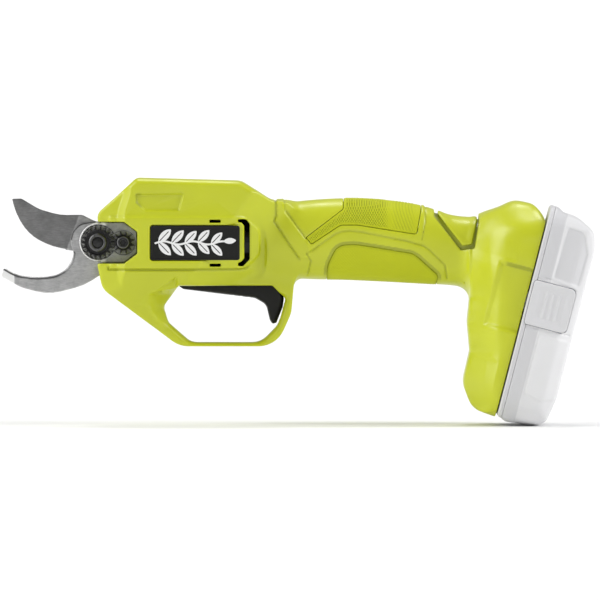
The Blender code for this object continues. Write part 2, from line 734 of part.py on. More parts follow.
def build_blade():
    """The moving blade, ground thin along its cutting edge on the far side."""
    rivets = [circle(1.35, 12, p) for p in rivet_places()]
    blade = prism("cutting_blade", [rounded(BLADE_OUTLINE, 20), pivot_hole(), *rivets],
                  BLADE_FRONT, BLADE_BACK)
    # the bevel is what a slanted block takes off beside each stretch of the edge
    edge = [(-114.5, 25.0), (-121.0, 26.0), (-132.0, 31.6), (-139.3, 38.6), (-144.0, 46.5),
            (-146.2, 53.5)]
    for (xa, za), (xb, zb) in zip(edge, edge[1:], strict=False):
        along = Vector((xb - xa, 0, zb - za))
        length = along.length
        along.normalize()
        inward = Vector((-along.z, 0, along.x)) * -1.0
        # the slant runs from the edge at the flat face to BEVEL_WIDTH in at the back face
        ring = []
        for s in (-1.2, length + 1.2):
            foot = Vector((xa, 0, za)) + along * s
            ring.append([
                tuple(foot + inward * -3.0 + Vector((0, BLADE_FRONT - 1.0, 0))),
                tuple(foot + inward * -0.7 + Vector((0, BLADE_FRONT - 1.0, 0))),
                tuple(foot + inward * 4.2 + Vector((0, BLADE_BACK + 0.6, 0))),
                tuple(foot + inward * -3.0 + Vector((0, BLADE_BACK + 0.6, 0))),
            ])
        cut(blade, loft("grind", ring))
    finished(blade, "blade_steel", 20)


def rivet_places():
    return [
        (PIVOT[0] + 7.2 * math.cos(math.radians(a)), PIVOT[1] + 7.2 * math.sin(math.radians(a)))
        for a in (SECTOR_MIDDLE - 35, SECTOR_MIDDLE + 35)
    ]


def build_sector():
    """The bevel gear sector behind the blade; its teeth run out from the pinion's apex."""
    pitch = 2 * math.pi / SECTOR_TEETH
    slope = PINION_TEETH / SECTOR_TEETH
    addendum, dedendum = 0.42 / BEVEL_OUT, 1.05 / BEVEL_OUT
    flank = math.tan(math.radians(20))
    half = pitch / 4 - 0.07 / BEVEL_OUT
    tip_half = half - addendum * flank
    root_half = half + dedendum * flank
    count = round(SECTOR_SPAN / math.degrees(pitch))
    middle = math.radians(SECTOR_MIDDLE)
    heights = []
    for k in range(count):
        at = middle + (k - (count - 1) / 2) * pitch
        heights += [(at - root_half, -dedendum), (at - tip_half, addendum),
                    (at + tip_half, addendum), (at + root_half, -dedendum)]
    rings = []
    for angle, height in heights:
        ring = []
        for r, top in ((BEVEL_IN, True), (BEVEL_OUT, True), (BEVEL_OUT, False), (BEVEL_IN, False)):
            y = DRIVE_Y - slope * r + height * r if top else SECTOR_FRONT
            ring.append((PIVOT[0] + r * math.cos(angle), y, PIVOT[1] + r * math.sin(angle)))
        rings.append(ring)
    rim = loft("sector_gear", rings)
    spread = math.radians(SECTOR_SPAN / 2 - 2)
    fan = [(PIVOT[0] + 12.5 * math.cos(middle + spread * t),
            PIVOT[1] + 12.5 * math.sin(middle + spread * t)) for t in (-1, -0.5, 0, 0.5, 1)]
    hub = [(PIVOT[0] + 9.6 * math.cos(middle + math.radians(a)),
            PIVOT[1] + 9.6 * math.sin(middle + math.radians(a))) for a in range(50, 311, 20)]
    rivets = [circle(1.35, 12, p) for p in rivet_places()]
    web = prism("web", [fan + hub, pivot_hole(), *rivets], SECTOR_FRONT, SECTOR_FRONT + 1.9)
    boss = prism("boss", [circle(4.7, 24, PIVOT), circle(BORE_R + 0.02, 24, PIVOT)],
                 SECTOR_FRONT + 1.0, 3.0)
    finished(joined(rim, web, boss), "gear_steel", 25)


def build_rivets():
    for i, place in enumerate(rivet_places()):
        rivet = turned(
            f"sector_rivet_{i + 1}",
            [(0, 1.9), (2.1, 1.9), (2.1, 1.3), (1.05, 1.3), (1.05, BLADE_FRONT + 0.1),
             (0, BLADE_FRONT + 0.1)],
            place, steps=12,
        )
        finished(rivet, "gear_steel")


def gear_outline(teeth, module, thin=0.0, addendum=0.8, dedendum=1.1, turn=0.0, centre=(0.0, 0.0)):
    """A gear's outline, its flanks flat from root to tip of an involute tooth; thin is the
    backlash taken off each tooth at the pitch circle, in millimetres."""
    pitch_r = teeth * module / 2
    base_r = pitch_r * math.cos(math.radians(20))
    tip_r = pitch_r + addendum * module
    root_r = pitch_r - dedendum * module
    pitch_half = math.pi / (2 * teeth) - thin / (2 * pitch_r)

    def involute(r):
        a = math.acos(min(1.0, base_r / r))
        return math.tan(a) - a

    def half_at(r):
        return pitch_half + involute(pitch_r) - involute(max(r, base_r))

    flank = [(root_r, half_at(root_r)), (tip_r, half_at(tip_r))]
    outline = []
    for k in range(teeth):
        at = turn + 2 * math.pi * k / teeth
        for r, half in flank:
            outline.append((centre[0] + r * math.cos(at - half), centre[1] + r * math.sin(at - half)))
        for r, half in reversed(flank):
            outline.append((centre[0] + r * math.cos(at + half), centre[1] + r * math.sin(at + half)))
    return outline


def build_adjuster():
    """The toothed tension nut on the pivot bolt and the small locking gear beside it."""
    gear = prism(
        "adjuster_gear",
        [gear_outline(ADJUST_TEETH, ADJUST_MODULE, 0.16, centre=PIVOT), circle(BORE_R, 24, PIVOT)],
        GEAR_FRONT, GEAR_BACK,
    )
    finished(gear, "dark_metal", 25)
    half_tooth = math.pi / LOCK_TEETH
    lock = prism(
        "lock_gear",
        [gear_outline(LOCK_TEETH, ADJUST_MODULE, 0.16, turn=half_tooth, centre=LOCK_POINT),
         circle(2.0, 16, LOCK_POINT)],
        GEAR_FRONT, GEAR_BACK,
    )
    finished(lock, "dark_metal", 25)
    bolt = turned(
        "pivot_bolt",
        [(0, 17.4), (BOLT_R, 17.4), (BOLT_R, GEAR_FRONT - 0.3), (4.6, GEAR_FRONT - 0.3),
         (4.6, CAP_FRONT + 0.9), (3.9, CAP_FRONT), (2.9, CAP_FRONT), (2.6, CAP_FRONT + 0.8),
         (0, CAP_FRONT + 0.5)],
        PIVOT,
    )
    finished(bolt, "dark_metal")
    screw = turned(
        "lock_screw",
        [(0, HOOK_BACK), (1.65, HOOK_BACK), (1.65, GEAR_FRONT - 0.3), (3.3, GEAR_FRONT - 0.3),
         (3.3, -15.4), (2.9, -15.8), (0, -15.8)],
        LOCK_POINT, steps=20,
    )
    cut(screw, cylinder("socket", 1.45, -20, -14.6, LOCK_POINT, segments=6))
    finished(screw, "dark_metal")
    nut = prism("pivot_nut", [circle(5.6, 6, PIVOT, math.radians(30)), circle(BORE_R, 24, PIVOT)],
                ARM_BACK + GAP, ARM_BACK + GAP + 3.0)
    finished(nut, "gear_steel")


def build_plate():
    outline = [c for c in window_outline(0.0) if c[0] > PIVOT[0]]
    left = [
        (PIVOT[0] + 10.3 * math.cos(math.radians(a)), PIVOT[1] + 10.3 * math.sin(math.radians(a)))
        for a in range(270, 89, -15)
    ]
    plate = prism("head_plate", [outline + left, pivot_hole(), circle(1.95, 16, LOCK_POINT)],
                  PLATE_FRONT, PLATE_BACK)
    finished(plate, "dark_metal")


def build_frame():
    """The cast frame: a bulkhead with the pinion's bearing seat, and an arm to the pivot bolt."""
    bulkhead = prism("gear_frame", rounded([(-4.2, 14.0, 3.0), (21.0, 14.0, 5.0),
                                            (21.0, 46.0, 5.0), (-4.2, 46.0, 3.0)]),
                     FRAME_FRONT, FRAME_BACK, "X")
    arm = prism("arm", [rounded([(-80.0, 20.5), (-80.0, 39.5), (-97.0, 39.5, 6.0),
                                 (-111.0, 37.0, 7.0), (-111.0, 23.0, 7.0), (-97.0, 20.5, 6.0)]),
                        pivot_hole()], ARM_FRONT, ARM_BACK)
    frame = joined(bulkhead, arm)
    frame = cut(frame, cylinder("seat", 5.4, FRAME_FRONT + 2.0, -70, (DRIVE_Y, DRIVE_Z), "X", 24),
                cylinder("bore", 3.4, -95, -70, (DRIVE_Y, DRIVE_Z), "X", 24))
    for z in (PIVOT[1] - 6.5, PIVOT[1] + 6.5):
        frame = cut(frame, cylinder("thread", 1.7, -10, 3.0, (-82.0, z), segments=12))
    finished(frame, "aluminium")
    bearing = turned(
        "pinion_bearing",
        [(5.1, FRAME_BACK), (5.1, FRAME_FRONT + 2.3), (2.8, FRAME_FRONT + 2.3), (2.8, FRAME_BACK)],
        (DRIVE_Y, DRIVE_Z), "X",
    )
    finished(bearing, "gear_steel")
    for i, z in enumerate((PIVOT[1] - 6.5, PIVOT[1] + 6.5)):
        screw = turned(
            f"tang_screw_{i + 1}",
            [(0, 2.5), (1.4, 2.5), (1.4, HOOK_FRONT + 1.7), (2.8, HOOK_FRONT + 1.7),
             (2.8, HOOK_FRONT + 0.2), (0, HOOK_FRONT + 0.2)],
            (-82.0, z), steps=12,
        )
        finished(screw, "gear_steel")


# ---------------------------------------------------------------- gearbox and motor
STAGES = [  # (front of the stage's planets, name)
    (-76.0, "second"),
    (-66.5, "first"),
]
PLANET_WIDE = 5.0
CARRIER_THICK = 2.0
CARRIER_R = 11.2
ORBIT = (SUN_TEETH + PLANET_TEETH) * PLANET_MODULE / 2
SHAFT_R = 2.5


def drive_prism(name, outlines, low, high):
    """A prism along X about the drive axis."""
    shifted = [[(y + DRIVE_Y, z + DRIVE_Z) for y, z in o] for o in outlines]
    return prism(name, shifted, low, high, "X")


def planet_angles():
    return [2 * math.pi * k / PLANETS for k in range(PLANETS)]


def planet_centre(angle):
    return (ORBIT * math.cos(angle), ORBIT * math.sin(angle))


def mesh_turn(angle):
    """How a planet at this angle is turned so that it meshes with a sun whose tooth lies on +Y."""
    sun_phase = (angle * SUN_TEETH) % (2 * math.pi)
    own = angle + math.pi
    return own + (sun_phase - math.pi) / PLANET_TEETH


def build_gearbox():
    ring_space = gear_outline(RING_TEETH, PLANET_MODULE, -0.12, addendum=1.1, dedendum=0.75,
                              turn=ring_turn())
    case = drive_prism("gearbox_case", [circle(GEARBOX_R, 40), ring_space],
                       GEARBOX_FRONT, GEARBOX_BACK)
    finished(case, "aluminium", 25)
    for front, stage in STAGES:
        for i, angle in enumerate(planet_angles()):
            centre = planet_centre(angle)
            planet = drive_prism(
                f"planet_{stage}_{i + 1}",
                [gear_outline(PLANET_TEETH, PLANET_MODULE, 0.1, turn=mesh_turn(angle),
                              centre=centre), circle(1.5, 12, centre)],
                front, front + PLANET_WIDE,
            )
            finished(planet, "gear_steel", 25)


def ring_turn():
    """The ring's turn that puts one of its spaces where the first planet's tooth points."""
    return mesh_turn(0.0) * PLANET_TEETH / RING_TEETH


def carrier(name, front, planets_back):
    """A carrier disc in front of its planets, with their pins reaching back through them."""
    disc = drive_prism(name, [circle(CARRIER_R, 32)], front - GAP - CARRIER_THICK, front - GAP)
    for angle in planet_angles():
        y, z = planet_centre(angle)
        pin = cylinder("pin", 1.2, front - GAP - 1.0, planets_back, (y + DRIVE_Y, z + DRIVE_Z),
                       "X", 12)
        disc = joined(disc, pin)
    return disc


def build_pinion_shaft():
    """The output shaft: bevel pinion in front, second stage carrier behind."""
    front = STAGES[0][0]
    outline = gear_outline(PINION_TEETH, BEVEL_MODULE, 0.12, addendum=1.0, dedendum=0.75,
                           turn=pinion_turn())
    outer, inner = PIVOT[0] + BEVEL_OUT, PIVOT[0] + BEVEL_IN
    rings = [
        [(x, DRIVE_Y + y * (x - PIVOT[0]) / BEVEL_OUT, DRIVE_Z + z * (x - PIVOT[0]) / BEVEL_OUT)
         for y, z in outline]
        for x in (inner, outer)
    ]
    pinion = loft("pinion_shaft", rings)
    shaft = cylinder("shaft", SHAFT_R, outer - 3.0, front - GAP - 1.0, (DRIVE_Y, DRIVE_Z), "X", 20)
    carrier_disc = carrier("carrier", front, front + PLANET_WIDE + 0.4)
    finished(joined(joined(pinion, shaft), carrier_disc), "gear_steel", 25)


def pinion_turn():
    """Puts a space of the pinion where the sector's tooth meets it, on the -Y side."""
    teeth_from_middle = -SECTOR_MIDDLE / (360 / SECTOR_TEETH)
    count = round(SECTOR_SPAN / (360 / SECTOR_TEETH))
    part_of_pitch = (teeth_from_middle - (count - 1) / 2) % 1.0
    toward = math.pi  # -Y in the (y, z) plane
    return toward + (0.5 + part_of_pitch) * 2 * math.pi / PINION_TEETH


def build_sun_carrier():
    """The first stage's carrier, with the second stage's sun on its nose."""
    front = STAGES[1][0]
    sun = drive_prism("sun_carrier", [gear_outline(SUN_TEETH, PLANET_MODULE, 0.1)],
                      STAGES[0][0] + 0.3, front - GAP - 1.0)
    disc = carrier("carrier", front, front + PLANET_WIDE + 0.4)
    finished(joined(sun, disc), "gear_steel", 25)


def build_motor():
    rotor = drive_prism("motor_rotor", [gear_outline(SUN_TEETH, PLANET_MODULE, 0.1)],
                        STAGES[1][0] + 0.3, GEARBOX_BACK - 1.0)
    shaft = cylinder("shaft", 2.0, GEARBOX_BACK - 2.5, MOTOR_BACK - 3.6, (DRIVE_Y, DRIVE_Z), "X", 16)
    core = cylinder("core", 9.5, MOTOR_FRONT + 6, MOTOR_BACK - 9, (DRIVE_Y, DRIVE_Z), "X", 20)
    finished(joined(rotor, joined(shaft, core)), "motor_steel", 25)
    can = turned(
        "motor_can",
        [(MOTOR_R, MOTOR_BACK - 6.0), (MOTOR_R, MOTOR_FRONT + 1.0), (MOTOR_R - 1.0, MOTOR_FRONT),
         (2.4, MOTOR_FRONT), (2.4, MOTOR_FRONT + 2.0), (MOTOR_R - 2.2, MOTOR_FRONT + 2.0),
         (MOTOR_R - 2.2, MOTOR_BACK - 6.0)],
        (DRIVE_Y, DRIVE_Z), "X", 32,
    )
    finished(can, "motor_steel")
    cap = turned(
        "motor_cap",
        [(MOTOR_R, MOTOR_BACK - 1.0), (MOTOR_R, MOTOR_BACK - 5.7), (2.4, MOTOR_BACK - 5.7),
         (2.4, MOTOR_BACK - 3.0), (0, MOTOR_BACK - 3.0), (0, MOTOR_BACK), (MOTOR_R - 1.0, MOTOR_BACK)],
        (DRIVE_Y, DRIVE_Z), "X", 24,
    )
    finished(cap, "black_plastic")


# ---------------------------------------------------------------- trigger and switches
TRIGGER_HALF = 6.2
TRIGGER_OUTLINE = [
    (-65.1, 11.2, 2.7), (-62.3, 14.0, 2.7), (-55.0, 11.0, 2.0), (-15.5, 9.6), (-13.2, 9.6),
    (-13.2, 12.0, 0.3), (-9.2, 12.0, 0.3), (-9.2, 7.0), (-7.0, 1.6, 1.0), (-7.6, -3.0, 4.0),
    (-10.9, -11.2, 0.8), (-13.2, -11.9, 1.2), (-14.6, -9.5, 2.0), (-16.4, -1.8, 5.0),
    (-22.0, 1.4, 5.0), (-58.5, 5.9, 1.0), (-61.5, 8.1, 1.0), (-64.6, 8.6, 1.6),
]
SWITCH_LOW = 24.0


def build_trigger():
    trigger = prism("trigger", [rounded(TRIGGER_OUTLINE), circle(1.8, 16, TRIGGER_PIVOT)],
                    -TRIGGER_HALF, TRIGGER_HALF)
    finished(trigger, "black_plastic")
    pin = cylinder("trigger_pin", 1.5, -9.5, 9.5, TRIGGER_PIVOT, segments=16)
    finished(pin, "gear_steel")
    body = box("trigger_switch", (-13.6, -6.0, SWITCH_LOW), (-0.5, 6.0, 38.0), bevel=0.8)
    hole = cylinder("hole", 1.8, SWITCH_LOW - 1, SWITCH_LOW + 9, (-11.0, 0.0), "Z", 16)
    body = cut(applied(body), hole)
    finished(body, "black_plastic")
    plunger = cylinder("switch_plunger", 1.4, 12.4, SWITCH_LOW + 2.0, (-11.0, 0.0), "Z", 12)
    finished(joined(plunger, cylinder("foot", 2.6, 12.4, 13.3, (-11.0, 0.0), "Z", 12)),
             "black_plastic")
    turns, per_turn, low, high = 4, 8, 14.0, SWITCH_LOW - 0.6
    coil = []
    for k in range(turns * per_turn + 1):
        a = 2 * math.pi * k / per_turn
        coil.append((-11.0 + 2.3 * math.cos(a), 2.3 * math.sin(a),
                     low + (high - low) * k / (turns * per_turn)))
    tube("trigger_spring", coil, 0.3, "gear_steel")


def build_power_button():
    """The saddle over the grip's tail: it tips about its rear edge onto a small switch."""
    saddle = prism("power_button", rounded(BUTTON_OUTLINE), -30, 30)
    saddle = common(saddle, handle_solid("skin", 0.0, 60.0, 97.0))
    saddle = cut(saddle, handle_solid("core", BUTTON_THICK, 60.0, 96.0))
    stem = box("stem", (78.8, -2.0, 36.4), (82.0, 2.0, 43.0))
    finished(joined(saddle, stem), "green_shell")
    switch = box("power_switch", (76.8, -3.5, 32.4), (84.0, 3.5, 34.9))
    finished(switch, "black_plastic")


# ---------------------------------------------------------------- electrics
def build_electrics():
    board = box("control_board", (-70.0, -17.0, 47.2), (-38.0, 17.0, 48.8))
    parts = [
        box("sink", (-66.0, -12.0, 48.4), (-52.0, 4.0, 53.5)),
        box("chip", (-50.0, -6.0, 48.4), (-43.0, 2.0, 50.2)),
        cylinder("capacitor", 4.0, 48.4, 56.0, (-46.0, 9.0), "Z", 12),
    ]
    finished(joined(board, *parts), "board_green")
    block = box("terminal_block", (-STEM_LENGTH - 8.5, -8.0, STEM_V - 8.0),
                (-STEM_LENGTH - 2.0, 8.0, STEM_V + 8.0), DOCK_FRAME)
    blades = [
        box("blade", (-STEM_LENGTH - 3.0, y - 0.5, STEM_V - 3.5),
            (-STEM_LENGTH + 6.0, y + 0.5, STEM_V + 3.5), DOCK_FRAME)
        for y in (-6.0, 0.0, 6.0)
    ]
    finished(joined(block, *blades), "black_plastic")
    for name, y in (("battery_lead_red", 3.5), ("battery_lead_black", -3.5)):
        route = [(77.2, y, 28.0), (66.0, y, 33.5), (48.0, y, 38.5), (24.0, y, 41.8),
                 (2.0, y, 43.5), (-12.0, y, 45.9), (-24.0, y, 47.3), (-37.6, y, 48.0)]
        tube(name, smooth_route(route, 2), 1.2, name.replace("battery_lead", "wire"))


def build_screws():
    for name, place in SCREWS.items():
        screw = turned(
            name,
            [(0, SCREW_SEAT_Y + 2.3), (SCREW_HEAD_R - 0.4, SCREW_SEAT_Y + 2.3),
             (SCREW_HEAD_R, SCREW_SEAT_Y + 1.6), (SCREW_HEAD_R, SCREW_SEAT_Y + GAP),
             (SCREW_R, SCREW_SEAT_Y + GAP), (SCREW_R, -8.6), (0, -8.6)],
            place, steps=8,
        )
        cut(screw, cylinder("socket", 1.3, SCREW_SEAT_Y + 1.0, 20, place, segments=6))
        finished(screw, "gear_steel")


# ---------------------------------------------------------------- battery pack
PACK_SIDE = [  # (u, v) of the whole block
    (0.4, 69.8, 4.0), (4.8, 69.6, 3.0), (8.0, 67.4, 2.0), (15.5, 67.0, 12.0),
    (25.5, 62.0, 8.0), (28.4, 52.0, 4.0), (28.4, -24.0, 4.0), (25.8, -38.0, 5.0),
    (21.5, -40.8, 4.0), (6.0, -43.0, 4.0), (0.4, -40.6, 2.0),
]
PACK_FACE = mirrored([(PACK_HALF, 70.0, 15.0), (PACK_HALF, -43.6, 15.0)])
PACK_PLAN = mirrored([(PACK_HALF, 0.0), (PACK_HALF, 20.0, 6.0), (34.0, 28.6, 3.0)])
PACK_SPLIT = 3.2
PACK_WALL = 2.0


def pack_block(depth):
    body = prism("block", rounded(inset(PACK_SIDE, depth)), -50, 50, frame=DOCK_FRAME)
    face = prism("face", rounded(inset(PACK_FACE, depth)), -5, 40, "X", DOCK_FRAME)
    plan = prism("plan", [(u, y) for y, u in rounded(inset(PACK_PLAN, depth))], -60, 90, "Z",
                 DOCK_FRAME)
    return common(body, face, plan)


def build_pack():
    """The pack's tray and lid with its stem, the two side latches and the cells."""
    tray = pack_block(0.0)
    tray.name = "battery_case"
    tray = cut(tray, pack_block(PACK_WALL))
    tray = cut(tray, box("rim", (-5, -60, -60), (PACK_SPLIT, 60, 90), DOCK_FRAME))
    lid = pack_block(0.0)
    lid.name = "battery_lid"
    lid = common(lid, box("slab", (0.3, -60, -60), (PACK_SPLIT - GAP, 60, 90), DOCK_FRAME))
    stem = box("stem", (-STEM_LENGTH, -STEM_HALF, STEM_V - STEM_HALF),
               (1.5, STEM_HALF, STEM_V + STEM_HALF), DOCK_FRAME)
    lid = joined(lid, stem)
    lid = cut(lid, box("hollow", (-STEM_LENGTH + 8.0, -STEM_HALF + 2, STEM_V - STEM_HALF + 2),
                       (10, STEM_HALF - 2, STEM_V + STEM_HALF - 2), DOCK_FRAME))
    for y in (-6.0, 0.0, 6.0):
        lid = cut(lid, box("slit", (-STEM_LENGTH - 1, y - 1.0, STEM_V - 4.2),
                           (-STEM_LENGTH + 7.0, y + 1.0, STEM_V + 4.2), DOCK_FRAME))
    for name, side in (("latch_left", -1), ("latch_right", 1)):
        tray, lid = build_latch(name, side, tray, lid)
    finished(tray, "pack_pale")
    finished(lid, "pack_pale")
    for k in range(5):
        v = PACK_MIDDLE + (k - 2) * CELL_STEP
        cell = cylinder(f"battery_cell_{k + 1}", CELL_R, -CELL_HALF, CELL_HALF, (CELL_U, v),
                        segments=20, frame=DOCK_FRAME)
        finished(cell, "cell_wrap")


def build_latch(name, side, tray, lid):
    """A press panel in the pack's side with a hook that reaches into the dock."""
    (u0, u1), (v0, v1) = LATCH_U, LATCH_V
    outer, inner = PACK_HALF + 0.3, PACK_HALF - 2.4

    def across(a, b):
        return tuple(sorted((side * a, side * b)))

    low, high = across(inner, outer)
    corners = [(u0, v0, 1.5), (u1, v0, 3.0), (u1, v1, 3.0), (u0, v1, 1.5)]
    panel = prism(name, rounded(corners), low, high, frame=DOCK_FRAME)
    low, high = across(29.6, 31.6)
    hook = box("hook", (-5.0, low, 15.0), (u0 + 3.5, high, 24.0), DOCK_FRAME)
    low, high = across(30.0, inner + 1.0)
    bridge = box("bridge", (u0 + 1.5, low, 15.0), (u0 + 3.5, high, 24.0), DOCK_FRAME)
    low, high = across(29.6, 33.0)
    tooth = box("tooth", (-5.0, low, 15.0), (-3.2, high, 24.0), DOCK_FRAME)
    finished(joined(panel, joined(hook, bridge), tooth), "pack_pale")
    low, high = across(25.0, 50.0)
    opening = rounded(inset(corners, -GAP - 0.1))
    tray = cut(tray, prism("latch_room", opening, low, high, frame=DOCK_FRAME))
    lid = cut(lid, prism("latch_room", opening, low, high, frame=DOCK_FRAME))
    low, high = across(25.0, 33.6)
    return tray, cut(lid, box("hook_way", (-2, low, 14.0), (6, high, 25.0), DOCK_FRAME))


# ---------------------------------------------------------------- joints
def joint_points():
    """Where each moving piece's origin lies: a point on its joint's axis."""
    pivot = (PIVOT[0], 0.0, PIVOT[1])
    drive = (PIVOT[0], DRIVE_Y, DRIVE_Z)
    plunger = (-11.0, 0.0, SWITCH_LOW)
    dock = (DOCK_POINT[0], 0.0, DOCK_POINT[1])
    points = {
        "cutting_blade": pivot,
        "sector_gear": pivot,
        "sector_rivet_1": pivot,
        "sector_rivet_2": pivot,
        "adjuster_gear": pivot,
        "lock_gear": (LOCK_POINT[0], 0.0, LOCK_POINT[1]),
        "pinion_shaft": drive,
        "sun_carrier": drive,
        "motor_rotor": drive,
        "trigger": (TRIGGER_PIVOT[0], 0.0, TRIGGER_PIVOT[1]),
        "switch_plunger": plunger,
        "trigger_spring": plunger,
        "power_button": (BUTTON_PIVOT[0], 0.0, BUTTON_PIVOT[1]),
        "battery_case": dock,
        "battery_lid": dock,
        "latch_left": dock,
        "latch_right": dock,
    }
    for front, stage in STAGES:
        for i, angle in enumerate(planet_angles()):
            y, z = planet_centre(angle)
            points[f"planet_{stage}_{i + 1}"] = (front, y + DRIVE_Y, z + DRIVE_Z)
    return points


def hang_on_axis(obj, point):
    """Moves an object's origin to a point, leaving its shape where it is."""
    place = Matrix.Translation(Vector(point) * MM)
    obj.data.transform(place.inverted() @ obj.matrix_world)
    obj.matrix_world = place


clear_scene()
PARTS = part_collection()
build_housing()
build_grips()
build_badges()
build_hook()
build_blade()
build_sector()
build_rivets()
build_adjuster()
build_plate()
build_frame()
build_gearbox()
build_pinion_shaft()
build_sun_carrier()
build_motor()
build_trigger()
build_power_button()
build_electrics()
build_screws()
build_pack()
for piece, axis_point in joint_points().items():
    hang_on_axis(bpy.data.objects[piece], axis_point)
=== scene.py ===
"""Looks of the battery electric pruner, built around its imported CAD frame.

Lengths are in millimetres until a mesh is made.  X runs from the blades to the battery, -Y is the
side with the tension gears, Z is up, as in the frame.  The moulded pieces are zero surfaces of
distance fields, negative inside, so their edges, fillets and grooves come from one formula.
"""

import json
from functools import reduce
from math import acos, ceil, cos, degrees, dist, pi, radians, sin, sqrt, tan

import bmesh
import bpy
import numpy as np
from mathutils import Matrix, Vector


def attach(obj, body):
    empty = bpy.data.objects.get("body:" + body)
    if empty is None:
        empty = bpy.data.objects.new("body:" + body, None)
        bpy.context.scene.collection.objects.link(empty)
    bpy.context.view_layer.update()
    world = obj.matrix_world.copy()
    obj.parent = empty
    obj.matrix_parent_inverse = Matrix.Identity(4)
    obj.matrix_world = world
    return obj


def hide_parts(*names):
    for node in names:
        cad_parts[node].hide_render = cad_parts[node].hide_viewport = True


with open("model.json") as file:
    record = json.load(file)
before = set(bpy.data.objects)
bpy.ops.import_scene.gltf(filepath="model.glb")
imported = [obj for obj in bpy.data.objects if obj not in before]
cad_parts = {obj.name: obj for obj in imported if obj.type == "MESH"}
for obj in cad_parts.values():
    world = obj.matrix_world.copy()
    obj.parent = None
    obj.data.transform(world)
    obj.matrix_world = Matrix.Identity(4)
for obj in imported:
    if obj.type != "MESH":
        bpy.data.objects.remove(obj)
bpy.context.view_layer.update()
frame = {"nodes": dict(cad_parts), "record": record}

MM = 0.001
SIDES = (("left", -1), ("right", 1))  # the near side is the left
PARTING = 0.15  # half the gap between the housing's halves

PIVOT = (-102, 30)  # axes along Y, as (x, z)
LOCK_POINT = (-89, 30)
TRIGGER_PIVOT = (-62.3, 11.2)
DRIVE = (6, 30)  # the motor's axis, as (y, z)
DOCK_POINT = (110.6, -18)
DOCK_TILT = radians(14.5)
DOCK_FRAME = Matrix.Translation((DOCK_POINT[0], 0, DOCK_POINT[1])) @ Matrix.Rotation(
    DOCK_TILT, 4, "Y")


# ---------------------------------------------------------------- outlines
def rounded(corners):
    """A closed outline from (a, b) or (a, b, radius) corners, each radius turned into an arc."""
    outline = []
    for i, corner in enumerate(corners):
        here = Vector(corner[:2])
        before = Vector(corners[i - 1][:2]) - here
        after = Vector(corners[(i + 1) % len(corners)][:2]) - here
        angle = before.angle(after)
        if len(corner) < 3 or angle > radians(178):
            outline.append(tuple(here))
            continue
        slope = tan(angle / 2)
        reach = min(corner[2] / slope, 0.49 * min(before.length, after.length))
        middle = (before.normalized() + after.normalized()).normalized()
        centre = here + middle * (reach * slope / sin(angle / 2))
        arm = here + before.normalized() * reach - centre
        turn = pi - angle
        steps = max(1, round(degrees(turn) / 9))
        if before.x * after.y - before.y * after.x >= 0:
            turn = -turn
        for a in (turn * k / steps for k in range(steps + 1)):
            outline.append((centre.x + arm.x * cos(a) - arm.y * sin(a),
                            centre.y + arm.x * sin(a) + arm.y * cos(a)))
    return outline


def mirrored(half):
    """A closed outline from its half at positive first coordinate."""
    return list(half) + [(-c[0], *c[1:]) for c in reversed(half)]


# ---------------------------------------------------------------- distance fields
def segment_square(start, end, a, b):
    """Squared distance from points (a, b) to a straight segment."""
    da, db = end[0] - start[0], end[1] - start[1]
    t = ((a - start[0]) * da + (b - start[1]) * db) / max(da * da + db * db, 1e-12)
    t = np.clip(t, 0, 1)
    return (a - start[0] - t * da) ** 2 + (b - start[1] - t * db) ** 2


def outside(outline, a, b):
    """Signed distance from points (a, b) to a closed outline, negative inside."""
    a, b = np.broadcast_arrays(np.asarray(a, np.float32), np.asarray(b, np.float32))
    nearest = np.full(a.shape, 1e9, np.float32)
    inside = np.zeros(a.shape, bool)
    for start, end in zip(outline, outline[1:] + outline[:1], strict=True):
        nearest = np.minimum(nearest, segment_square(start, end, a, b))
        (a0, b0), (a1, b1) = start, end
        if b0 != b1:
            inside ^= ((b0 > b) != (b1 > b)) & (a < (a1 - a0) * (b - b0) / (b1 - b0) + a0)
    return np.sqrt(nearest) * np.where(inside, -1, 1)


def off_line(points, a, b):
    """Distance from points (a, b) to an open line."""
    return np.sqrt(reduce(np.minimum, [segment_square(start, end, a, b) for start, end in
                                       zip(points, points[1:], strict=False)]))


def soft_distance(points, a, b, k):
    """Distance to an open line as off_line gives, its creases rounded over about k."""
    pairs = zip(points, points[1:], strict=False)
    return -k * np.log(sum(np.exp(off_line(pair, a, b) / -k) for pair in pairs))


def off_axis(a, b, centre):
    return np.hypot(a - centre[0], b - centre[1])


def slab(a, low, high):
    return np.maximum(low - a, a - high)


def hexagon(a, b, centre, flat):
    """Distance from a hexagon with two level sides, flat from its centre to a side."""
    a, b = np.abs(a - centre[0]), np.abs(b - centre[1])
    return np.maximum(b, a * cos(pi / 6) + b * 0.5) - flat


def common(*shapes):
    """What lies in all of the shapes, with sharp edges."""
    return reduce(np.maximum, shapes)


def meet(a, b, corner):
    """What lies in both shapes, the edge between them rounded over about this width."""
    h = np.maximum(corner - np.abs(a - b), 0) / corner
    return np.maximum(a, b) + h * h * corner / 4


def join(a, b, corner):
    """What lies in either shape, the valley between them filled over about this width."""
    return -meet(-a, -b, corner)


def carve(shape, tool, corner):
    """A shape without what lies in a second one."""
    return meet(shape, -tool, corner)


def step(low, high, x):
    """0 at low and 1 at high, smooth between and level beyond."""
    t = np.clip((x - low) / (high - low), 0, 1)
    return t * t * (3 - 2 * t)


